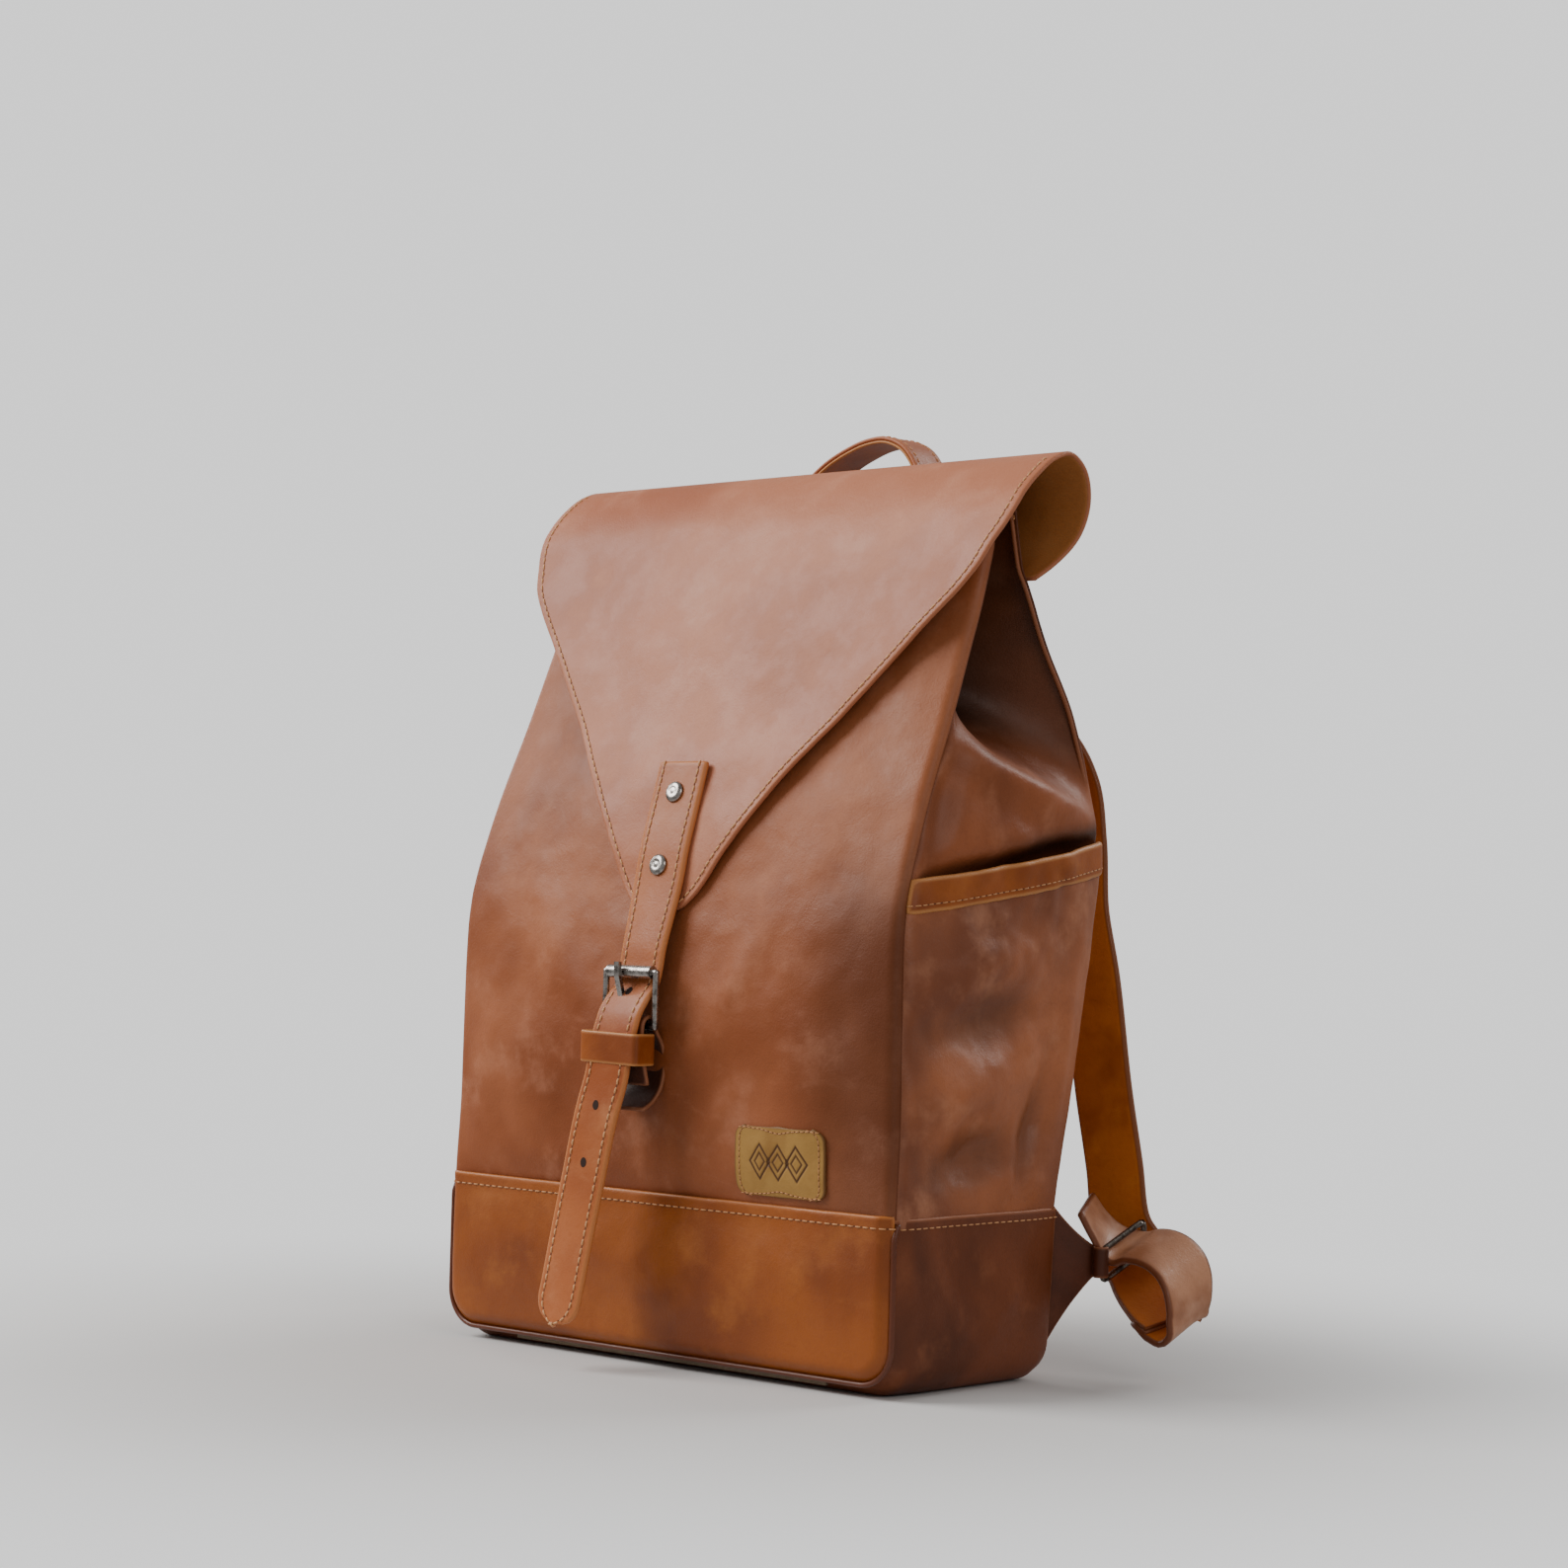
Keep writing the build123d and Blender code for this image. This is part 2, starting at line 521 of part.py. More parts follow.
def curl_layer(near, far):
    """One layer of the curl behind the fold line, down to its seam on the back panel."""
    layer = plate_yz(band(CURL_LINE, near, far), -FLAP_HALF_WIDTH, FLAP_HALF_WIDTH)
    behind = block(-REACH, REACH, RIDGE_Y, REACH, 0, REACH)
    return layer & curl_outline() & behind


def flap_strap():
    outline = band(STRAP_LINE, 0, -FLAP_STRAP_THICKNESS)
    return with_rivet_holes(plate_yz(outline, -FLAP_STRAP_HALF_WIDTH, FLAP_STRAP_HALF_WIDTH))


def flap_rivets():
    """Two domed rivets, each a cap with its post."""
    rivets = []
    for height in RIVET_HEIGHTS:
        face = rivet_plane(height).offset(FLAP_STRAP_THICKNESS)
        disc = extrude(face * Circle(RIVET_CAP_RADIUS), amount=RIVET_CAP_HEIGHT)
        rim = disc.edges().sort_by(Axis(face.origin, face.z_dir))[-1]
        cap = fillet(rim, RIVET_CAP_ROUNDING)
        depth = FLAP_STRAP_THICKNESS + LEATHER + LINING + WASHER_THICKNESS
        post = extrude(face * Circle(RIVET_POST_RADIUS), amount=-depth)
        rivets.append(cap + post)
    return Compound(children=rivets)


def rivet_backs():
    """Washers that hold the rivets on the inside of the flap."""
    backs = []
    for height in RIVET_HEIGHTS:
        face = rivet_plane(height).offset(-LEATHER - LINING)
        washer = face * (Circle(WASHER_RADIUS) - Circle(RIVET_HOLE_RADIUS))
        backs.append(extrude(washer, amount=-WASHER_THICKNESS))
    return Compound(children=backs)


def prong_slot(margin, y_range, z_range):
    """What is cut away for the prong, with a margin on each side of it."""
    return block(PRONG_LEFT - margin, PRONG_RIGHT + margin, *y_range, *z_range)


def billet():
    """Loose end of the flap strap, through the buckle and down the front."""
    back = [[(x - half, y, z), (x + half, y, z)] for x, y, z, half in BILLET_ROWS]
    front = [[(x, y - FLAP_STRAP_THICKNESS, z) for x, y, z in row] for row in back]
    return sheet(back, front) - prong_slot(BILLET_SLOT_MARGIN, BILLET_SLOT_Y, BILLET_SLOT_Z)


# ---- buckle -------------------------------------------------------------------------------
def chape():
    """Strap end folded round the buckle's bar: back layer on the panel, front layer, and a slot."""
    half, near, far = CHAPE_HALF_WIDTH, CHAPE_BEND_INSIDE, CHAPE_BEND_OUTSIDE
    fold = make_face(Polyline((-near, 0), (-far, 0)) + CenterArc((0, 0), far, 180, -180)
                     + Polyline((far, 0), (near, 0)) + CenterArc((0, 0), near, 0, 180))
    wrap = extrude(Plane.YZ.offset(-half) * Location((BAR_Y, BAR_Z)) * fold, amount=2 * half)
    shape = plate_yz(CHAPE_BACK_LAYER, -half, half) + plate_yz(CHAPE_FRONT_LAYER, -half, half) + wrap
    return shape - prong_slot(CHAPE_SLOT_MARGIN, CHAPE_SLOT_Y, CHAPE_SLOT_Z)


def buckle_frame():
    corners = [(-BUCKLE_HALF_WIDTH, BAR_Y, BAR_Z), (BUCKLE_HALF_WIDTH, BAR_Y, BAR_Z),
               (BUCKLE_HALF_WIDTH, BAR_Y, ROLLER_Z), (-BUCKLE_HALF_WIDTH, BAR_Y, ROLLER_Z)]
    return wire_frame(corners, WIRE_RADIUS)


def buckle_roller():
    half = BUCKLE_HALF_WIDTH - WIRE_RADIUS - ROLLER_END_GAP
    ring = Circle(ROLLER_RADIUS) - Circle(WIRE_RADIUS + RUNNING_GAP)
    return extrude(Plane.YZ.offset(-half) * Location((BAR_Y, ROLLER_Z)) * ring, amount=2 * half)


def buckle_prong():
    """Prong: an eye on the bar and a tongue through the billet that rests over the roller."""
    hole = Circle(WIRE_RADIUS + RUNNING_GAP)
    eye = Location((BAR_Y, BAR_Z)) * (Circle(PRONG_EYE_RADIUS) - hole)
    ring = extrude(Plane.YZ.offset(PRONG_LEFT) * eye, amount=PRONG_RIGHT - PRONG_LEFT)
    tongue = band(PRONG_LINE, -PRONG_HALF_THICKNESS, PRONG_HALF_THICKNESS)
    return ring + plate_yz(tongue, PRONG_LEFT, PRONG_RIGHT)


def keeper():
    """Leather loop round the billet and the front layer of the chape."""
    outer = block(KEEPER_LEFT, KEEPER_RIGHT, KEEPER_FRONT_Y, KEEPER_BACK_Y, KEEPER_LOW_Z, KEEPER_HIGH_Z)
    return outer - block(KEEPER_LEFT + KEEPER_WALL, KEEPER_RIGHT - KEEPER_WALL,
                         KEEPER_FRONT_Y + KEEPER_WALL, KEEPER_BACK_Y - KEEPER_WALL, 0, REACH)


# ---- handle and straps --------------------------------------------------------------------
def handle_rows():
    left = [((-c[0], c[1], c[2]), (w[0], -w[1], w[2])) for c, w in HANDLE_HALF[:-1]]
    turned = [(c, (-w[0], -w[1], w[2])) for c, w in HANDLE_HALF[::-1]]
    return left + turned


def side_ring():
    corners = [(RING_X, RING_NEAR_Y, RING_LOW_Z), (RING_X, RING_FAR_Y, RING_LOW_Z),
               (RING_X, RING_FAR_Y, RING_HIGH_Z), (RING_X, RING_NEAR_Y, RING_HIGH_Z)]
    return wire_frame(corners, RING_WIRE_RADIUS)


def lower_strap():
    """Adjusting strap: its tail through the ring, and its slack hanging in a loop."""
    outline = band(LOWER_STRAP_LINE, 0, -LOWER_STRAP_THICKNESS)
    return plate_xz(outline, RING_NEAR_Y + LOWER_STRAP_NEAR_GAP, RING_FAR_Y - LOWER_STRAP_FAR_GAP)


# ---- build --------------------------------------------------------------------------------
os.makedirs("parts", exist_ok=True)
save(front_panel(), "front_panel")
save(front_base_band(), "front_base_band")
save(front_piping(), "front_piping")
save(base_gusset(), "base_gusset")
save(back_panel(), "back_panel")
save_pair(side_gusset(), "side_gusset")
save_pair(side_pocket(), "side_pocket")
save_pair(pocket_band(), "pocket_band")
save(label_patch(), "label_patch")
save(mouth_facing(), "mouth_facing")
save(back_foam(), "back_foam")
save(base_board(), "base_board")
save(lining_front(), "lining_front")
save(lining_back(), "lining_back")
save(lining_base(), "lining_base")
save_pair(lining_side(), "lining_side")
save(inner_pocket(), "inner_pocket")
save_pair(strap_tab(), "strap_tab")
save(strap_yoke(), "strap_yoke")

save(flap_layer(0, LEATHER), "flap_leather")
save(flap_layer(LEATHER, LEATHER + LINING), "flap_lining")
save(curl_layer(0, -LEATHER), "flap_curl")
save(curl_layer(-LEATHER, -LEATHER - LINING), "flap_curl_lining")
save(flap_strap(), "flap_strap")
save(billet(), "billet")
save(flap_rivets(), "flap_rivets")
save(rivet_backs(), "flap_rivet_backs")

save(chape(), "chape")
save(buckle_frame(), "buckle_frame")
save(buckle_roller(), "buckle_roller")
save(buckle_prong(), "buckle_prong")
save(keeper(), "keeper")

save(ribbon(handle_rows(), HANDLE_HALF_WIDTH, -LEATHER, 0.0), "handle_leather")
save(ribbon(handle_rows(), HANDLE_HALF_WIDTH, 0.0, STRAP_LINING), "handle_lining")
save_pair(ribbon(SHOULDER_ROWS, STRAP_HALF_WIDTH, -LEATHER, 0.0), "shoulder_strap")
save_pair(ribbon(SHOULDER_ROWS, STRAP_HALF_WIDTH, 0.0, STRAP_LINING), "shoulder_strap_lining")
save_pair(side_ring(), "side_ring")
save_pair(lower_strap(), "lower_strap")
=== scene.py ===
import json
import math

import bpy
import numpy as np
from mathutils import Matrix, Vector, noise
from mathutils.bvhtree import BVHTree


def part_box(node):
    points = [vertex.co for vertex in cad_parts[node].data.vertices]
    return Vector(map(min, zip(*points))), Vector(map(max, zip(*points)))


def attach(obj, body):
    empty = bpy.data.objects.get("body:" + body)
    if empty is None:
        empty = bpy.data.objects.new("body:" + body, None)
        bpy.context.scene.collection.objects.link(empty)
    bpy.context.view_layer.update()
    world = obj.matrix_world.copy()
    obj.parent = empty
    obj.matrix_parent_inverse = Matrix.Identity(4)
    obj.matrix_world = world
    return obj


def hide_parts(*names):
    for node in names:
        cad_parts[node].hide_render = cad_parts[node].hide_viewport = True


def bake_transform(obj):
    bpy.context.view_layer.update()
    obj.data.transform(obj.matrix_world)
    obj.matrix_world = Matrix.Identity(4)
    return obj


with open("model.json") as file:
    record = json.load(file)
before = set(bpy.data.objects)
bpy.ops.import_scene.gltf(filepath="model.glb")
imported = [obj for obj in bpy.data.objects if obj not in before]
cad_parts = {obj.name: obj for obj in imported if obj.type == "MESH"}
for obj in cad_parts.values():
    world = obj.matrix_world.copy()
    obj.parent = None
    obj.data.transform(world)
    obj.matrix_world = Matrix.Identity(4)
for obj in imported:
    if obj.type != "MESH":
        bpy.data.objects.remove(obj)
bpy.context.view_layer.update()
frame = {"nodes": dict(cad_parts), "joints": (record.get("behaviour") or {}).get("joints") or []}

MM = 0.001               # shapes below are worked out in millimetres
UP = np.array([0.0, 0.0, 1.0])


# ---- places read from the frame -------------------------------------------------------------
def box_mm(node):
    low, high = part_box(node)
    return np.array(low) / MM, np.array(high) / MM


def joint_mm(name):
    for joint in frame["joints"]:
        if joint["name"] == name:
            return np.array(joint["pos_m"]) / MM
    raise KeyError(name)


RIDGE = joint_mm("flap_hinge")
BAR = joint_mm("buckle_swing")
RING = joint_mm("ring_swing_r")
BODY_HALF = box_mm("front_panel")[1][0]
SEAM_Z = box_mm("front_panel")[0][2]
MOUTH_Z = box_mm("front_panel")[1][2]
BASE_HALF = box_mm("base_gusset")[1][0]
BASE_FRONT = box_mm("base_gusset")[0][1]
FLAP_HALF = box_mm("flap_leather")[1][0]
MOUTH_HALF = 134.0       # half width of the bag at its mouth
CORNER_RADIUS = 21.0     # bottom corners of the front outline
LEATHER = 2.0            # thickness of the body leather
TAG = {1: "r", -1: "l"}  # the two sides by the sign of x, with their letters in the nodes' names


# ---- small mathematics -----------------------------------------------------------------------
ROUGHNESS, LACUNARITY, OCTAVES = 0.9, 2.0, 3     # of the noise that rumples the leather


def smooth_line(xs, ys):
    """A smooth function through points with rising x that never overshoots between them."""
    xs = np.asarray(xs, float)
    ys = np.asarray(ys, float)
    step = np.diff(xs)
    slope = np.diff(ys) / step
    tangent = np.zeros(len(xs))
    tangent[0], tangent[-1] = slope[0], slope[-1]
    for i in range(1, len(xs) - 1):
        if slope[i - 1] * slope[i] > 0:
            a = 2 * step[i] + step[i - 1]
            b = step[i] + 2 * step[i - 1]
            tangent[i] = (a + b) / (a / slope[i - 1] + b / slope[i])

    def value(x):
        x = np.clip(np.asarray(x, float), xs[0], xs[-1])
        i = np.clip(np.searchsorted(xs, x) - 1, 0, len(xs) - 2)
        h = step[i]
        t = (x - xs[i]) / h
        return (ys[i] * (1 + 2 * t) * (1 - t) ** 2 + tangent[i] * h * t * (1 - t) ** 2
                + ys[i + 1] * t * t * (3 - 2 * t) + tangent[i + 1] * h * t * t * (t - 1))

    return value


def space_curve(points):
    """A smooth curve through points; takes 0 to 1 along its length and gives points."""
    points = np.asarray(points, float)
    chord = np.concatenate([[0], np.cumsum(np.linalg.norm(np.diff(points, axis=0), axis=1))])
    extended = np.vstack([2 * points[0] - points[1], points, 2 * points[-1] - points[-2]])
    tangent = np.zeros_like(points)
    for i in range(len(points)):
        before, here, after = extended[i], extended[i + 1], extended[i + 2]
        d0 = np.linalg.norm(here - before)
        d1 = np.linalg.norm(after - here)
        tangent[i] = ((here - before) / d0 * d1 + (after - here) / d1 * d0) / (d0 + d1)

    def value(t):
        s = np.clip(np.atleast_1d(np.asarray(t, float)), 0, 1) * chord[-1]
        i = np.clip(np.searchsorted(chord, s) - 1, 0, len(points) - 2)
        h = (chord[i + 1] - chord[i])[:, None]
        u = ((s - chord[i]) / (chord[i + 1] - chord[i]))[:, None]
        return (points[i] * (1 + 2 * u) * (1 - u) ** 2 + tangent[i] * h * u * (1 - u) ** 2
                + points[i + 1] * u * u * (3 - 2 * u) + tangent[i + 1] * h * u * u * (u - 1))

    value.length = chord[-1]
    value.stops = chord / chord[-1]
    return value


def ease(x, low, high):
    """0 below low, 1 above high, smooth between."""
    t = np.clip((x - low) / (high - low), 0, 1)
    return t * t * (3 - 2 * t)


def bell(x, middle, width):
    return np.exp(-((x - middle) / width) ** 2)


def ridges(x, z, table):
    """Sum of ridges (+) and dents (-); each row of the table has a height, a place and width across,
    a place and reach along z, and how far it leans per mm above a pivot."""
    total = 0.0
    for height, at, width, middle, reach, lean, pivot in table:
        total = total + height * bell(x - lean * (z - pivot), at, width) * bell(z, middle, reach)
    return total


def unit(v):
    return v / np.maximum(np.linalg.norm(v, axis=-1, keepdims=True), 1e-9)


def rumple(grid, size, seed):
    """Soft noise from -1 to 1 at each point of a grid, with lumps of about that size in mm."""
    places = grid.reshape(-1, 3) / size + np.array([seed, -seed, 2 * seed])
    values = [noise.fractal(Vector(p), ROUGHNESS, LACUNARITY, OCTAVES) for p in places]
    return np.array(values).reshape(grid.shape[:-1])


# ---- meshes ----------------------------------------------------------------------------------
def add_tone(sheet, name, values):
    """Write values per grid point on the outer face, as a point attribute that the material reads."""
    tone = np.zeros(len(sheet.object.data.vertices))
    tone[:values.size] = np.clip(values, 0, 1).ravel()
    attribute = sheet.object.data.attributes.new(name, "FLOAT", "POINT")
    attribute.data.foreach_set("value", tone)


def add_object(name, points, faces, materials, indices=None, smooth=True):
    mesh = bpy.data.meshes.new(name)
    mesh.from_pydata([tuple(p) for p in np.asarray(points) * MM], [], faces)
    for material in materials:
        mesh.materials.append(material)
    if indices is not None:
        mesh.polygons.foreach_set("material_index", indices)
    mesh.polygons.foreach_set("use_smooth", [smooth] * len(mesh.polygons))
    mesh.update()
    obj = bpy.data.objects.new(name, mesh)
    bpy.context.scene.collection.objects.link(obj)
    return obj


def ring_points(centre, u, v, sides):
    """Points evenly round an ellipse with the half axes u and v."""
    angle = 2 * math.pi * np.arange(sides)[:, None] / sides
    return centre + np.cos(angle) * u + np.sin(angle) * v


def ring_faces(rings, sides, base=0, closed=False):
    """Quads between successive rings of points that start at index base."""
    faces = []
    for r in range(rings if closed else rings - 1):
        here, after = base + r * sides, base + (r + 1) % rings * sides
        for k in range(sides):
            m = (k + 1) % sides
            faces.append((here + k, here + m, after + m, after + k))
    return faces


def grid_normals(grid, closed=False):
    """Unit normals of a grid of points; rows by columns."""
    if closed:
        along = np.roll(grid, -1, axis=0) - np.roll(grid, 1, axis=0)
    else:
        along = np.gradient(grid, axis=0)
    across = np.gradient(grid, axis=1)
    return unit(np.cross(across, along))


def edge_distance(grid, closed=False):
    """Distance in mm of each grid point from the nearest free edge."""
    across = np.linalg.norm(np.diff(grid, axis=1), axis=2)
    left = np.concatenate([np.zeros((len(grid), 1)), np.cumsum(across, axis=1)], axis=1)
    nearest = np.minimum(left, left[:, -1:] - left)
    if not closed:
        along = np.linalg.norm(np.diff(grid, axis=0), axis=2)
        low = np.concatenate([np.zeros((1, grid.shape[1])), np.cumsum(along, axis=0)], axis=0)
        nearest = np.minimum(nearest, np.minimum(low, low[-1:] - low))
    return nearest


class Sheet:
    """A sheet of leather or cloth: a grid of points on its outer face, a thickness and a round rim."""

    RIM_STEPS = 4

    def __init__(self, name, grid, thickness, material, inner, closed=False, flip=False):
        self.grid = np.asarray(grid, float)
        self.closed = closed
        normals = grid_normals(self.grid, closed) * (-1 if flip else 1)
        self.normals = normals
        rows, columns = self.grid.shape[:2]
        points = [self.grid.reshape(-1, 3), (self.grid - normals * thickness).reshape(-1, 3)]
        distance = edge_distance(self.grid, closed)
        edge = [distance.ravel(), distance.ravel()]
        count = rows * columns
        faces = []
        indices = []

        def quad(a, b, c, d, index):
            faces.append((a, b, c, d) if not flip else (d, c, b, a))
            indices.append(index)

        last = rows if closed else rows - 1
        for i in range(last):
            k = (i + 1) % rows
            for j in range(columns - 1):
                a, b = i * columns + j, i * columns + j + 1
                c, d = k * columns + j + 1, k * columns + j
                quad(a, b, c, d, 0)
                quad(count + d, count + c, count + b, count + a, 1)
        offset = 2 * count
        for loop in self.loops():
            at_row, at_column = np.array(loop).T
            here, normal = self.grid[at_row, at_column], normals[at_row, at_column]
            outward = self.outward(loop)
            rings = [[i * columns + j for i, j in loop]]
            for step in range(1, self.RIM_STEPS):
                angle = math.pi * step / self.RIM_STEPS
                ring = here - normal * thickness / 2 + thickness / 2 * (
                    math.cos(angle) * normal + math.sin(angle) * outward)
                points.append(ring)
                edge.append(np.full(len(loop), -1.0))
                rings.append(list(range(offset, offset + len(loop))))
                offset += len(loop)
            rings.append([count + i * columns + j for i, j in loop])
            for ring, after in zip(rings, rings[1:]):
                for n in range(len(loop)):
                    m = (n + 1) % len(loop)
                    quad(ring[m], ring[n], after[n], after[m], 2)
        self.object = add_object(name, np.vstack(points), faces, [material, inner, material], indices)
        attribute = self.object.data.attributes.new("edge_mm", "FLOAT", "POINT")
        attribute.data.foreach_set("value", np.concatenate(edge))
        self.tree = BVHTree.FromPolygons([tuple(p) for p in self.grid.reshape(-1, 3)],
                                         [f for f, i in zip(faces, indices) if i == 0])

    def loops(self):
        """The free edges as closed loops of grid indices, each with the sheet on its left."""
        rows, columns = self.grid.shape[:2]
        if self.closed:
            return [[(i, columns - 1) for i in range(rows)], [(i, 0) for i in range(rows)][::-1]]
        loop = [(0, j) for j in range(columns - 1)]
        loop += [(i, columns - 1) for i in range(rows - 1)]
        loop += [(rows - 1, j) for j in range(columns - 1, 0, -1)]
        loop += [(i, 0) for i in range(rows - 1, 0, -1)]
        return [loop]

    def outward(self, loop):
        """Directions in the sheet, out of its edge, along a loop."""
        rows, columns = self.grid.shape[:2]
        found = []
        for i, j in loop:
            total = np.zeros(3)
            if j == 0:
                total += unit(self.grid[i, 0] - self.grid[i, 1])
            if j == columns - 1:
                total += unit(self.grid[i, -1] - self.grid[i, -2])
            if not self.closed and i == 0:
                total += unit(self.grid[0, j] - self.grid[1, j])
            if not self.closed and i == rows - 1:
                total += unit(self.grid[-1, j] - self.grid[-2, j])
            found.append(total)
        return unit(np.array(found))

    def edge_path(self, side, inset):
        """Points on the outer face at an inset from one side: first, last, left or right."""
        grid = self.grid
        edge, inner = {"first": (grid[0], grid[1]), "last": (grid[-1], grid[-2]),
                       "left": (grid[:, 0], grid[:, 1]), "right": (grid[:, -1], grid[:, -2])}[side]
        return edge + unit(inner - edge) * inset

    def snap(self, point):
        """The nearest point of the outer face, with its normal."""
        place, normal = self.tree.find_nearest(Vector(point))[:2]
        return np.array(place), np.array(normal)


def resample(path, pitch):
    """Points along a polyline, evenly spaced at about that pitch."""
    path = np.asarray(path, float)
    length = np.concatenate([[0], np.cumsum(np.linalg.norm(np.diff(path, axis=0), axis=1))])
    count = max(2, int(round(length[-1] / pitch)) + 1)
    at = np.linspace(0, length[-1], count)
    return np.stack([np.interp(at, length, path[:, k]) for k in range(3)], axis=1)


def frames_along(path, normals):
    tangent = unit(np.gradient(path, axis=0))
    side = unit(np.cross(tangent, normals))
    return tangent, side, unit(np.cross(side, tangent))


STITCH_SIDES = 6
HOLE_SIDES = 8
# Place along a stitch, height and thickness of its rings, as shares of its length and radius.
STITCH_RINGS = [(-0.50, -0.35, 0.55), (-0.36, 0.20, 0.95), (-0.12, 0.42, 1.0),
                (0.12, 0.42, 1.0), (0.36, 0.20, 0.95), (0.50, -0.35, 0.55)]


class Stitching:
    """All the stitches of one kind of thread on one body, gathered into one mesh with their holes."""

    def __init__(self):
        self.points = []
        self.faces = []
        self.indices = []

    def add_edge(self, sheet, edge, inset, *stitch):
        self.add(sheet, sheet.edge_path(edge, inset), *stitch)

    def add(self, sheet, path, pitch, length, radius):
        """A row of stitches along a path, snapped to the sheet, with a hole between each two."""
        centres = resample(path, pitch)
        if len(centres) < 3:
            return
        snapped = [sheet.snap(p) for p in centres]
        places = np.array([s[0] for s in snapped])
        normals = np.array([s[1] for s in snapped])
        tangents, sides, normals = frames_along(places, normals)
        for place, tangent, side, normal in zip(places, tangents, sides, normals):
            self.stitch(place, tangent, side, normal, length, radius)
        middles = (places[1:] + places[:-1]) / 2
        for place, side, normal, tangent in zip(middles, sides, normals, tangents):
            half_length = 0.52 * (pitch - length) + 0.2
            self.hole(place + normal * 0.04, tangent, side, half_length, radius * 1.15)

    def stitch(self, place, tangent, side, normal, length, radius):
        base = len(self.points)
        for along, lift, scale in STITCH_RINGS:
            centre = place + tangent * along * length + normal * lift * radius * 1.2
            thick = radius * scale
            self.points.extend(ring_points(centre, thick * side, thick * normal, STITCH_SIDES))
        last = base + (len(STITCH_RINGS) - 1) * STITCH_SIDES
        self.faces += ring_faces(len(STITCH_RINGS), STITCH_SIDES, base)
        self.faces.append(tuple(range(base, base + STITCH_SIDES))[::-1])
        self.faces.append(tuple(range(last, last + STITCH_SIDES)))
        self.indices += [0] * ((len(STITCH_RINGS) - 1) * STITCH_SIDES + 2)

    # A flat disc for each hole, coloured with the painted shade of its inside.
    def hole(self, place, tangent, side, half_length, half_width):
        base = len(self.points)
        self.points.extend(ring_points(place, tangent * half_length, side * half_width, HOLE_SIDES))
        self.faces.append(tuple(range(base, base + HOLE_SIDES)))
        self.indices.append(1)

    def build(self, name, body, material):
        obj = add_object(name, self.points, self.faces, [material, STITCH_HOLE_SHADE], self.indices)
        if body == "handle":
            blend_handle(obj)
        else:
            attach(obj, body)
        return obj


def tube(name, path, radius, material, sides=10, closed=False):
    """A round cord of leather along a path."""
    path = np.asarray(path, float)
    if closed:
        tangent = unit(np.roll(path, -1, axis=0) - np.roll(path, 1, axis=0))
    else:
        tangent = unit(np.gradient(path, axis=0))
    reference = np.array([0.0, 1.0, 0.05])
    side = unit(np.cross(tangent, reference))
    up = np.cross(side, tangent)
    points = [ring_points(p, radius * a, radius * b, sides) for p, a, b in zip(path, side, up)]
    faces = ring_faces(len(path), sides, closed=closed)
    if not closed:
        last = (len(path) - 1) * sides
        faces += [tuple(range(sides))[::-1], tuple(range(last, last + sides))]
    return add_object(name, np.vstack(points), faces, [material])


def finish_piece(obj, body, slot, *nodes):
    """Ride on a body and stand for CAD nodes, which it hides; the slot is not used."""
    if nodes:
        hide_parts(*nodes)
    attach(obj, body)
    return obj


# ---- materials -------------------------------------------------------------------------------
def srgb(r, g, b):
    """Linear colour of a 0 to 255 sRGB colour."""
    linear = []
    for c in (r, g, b):
        c = c / 255
        linear.append(c / 12.92 if c <= 0.04045 else ((c + 0.055) / 1.055) ** 2.4)
    return (*linear, 1.0)


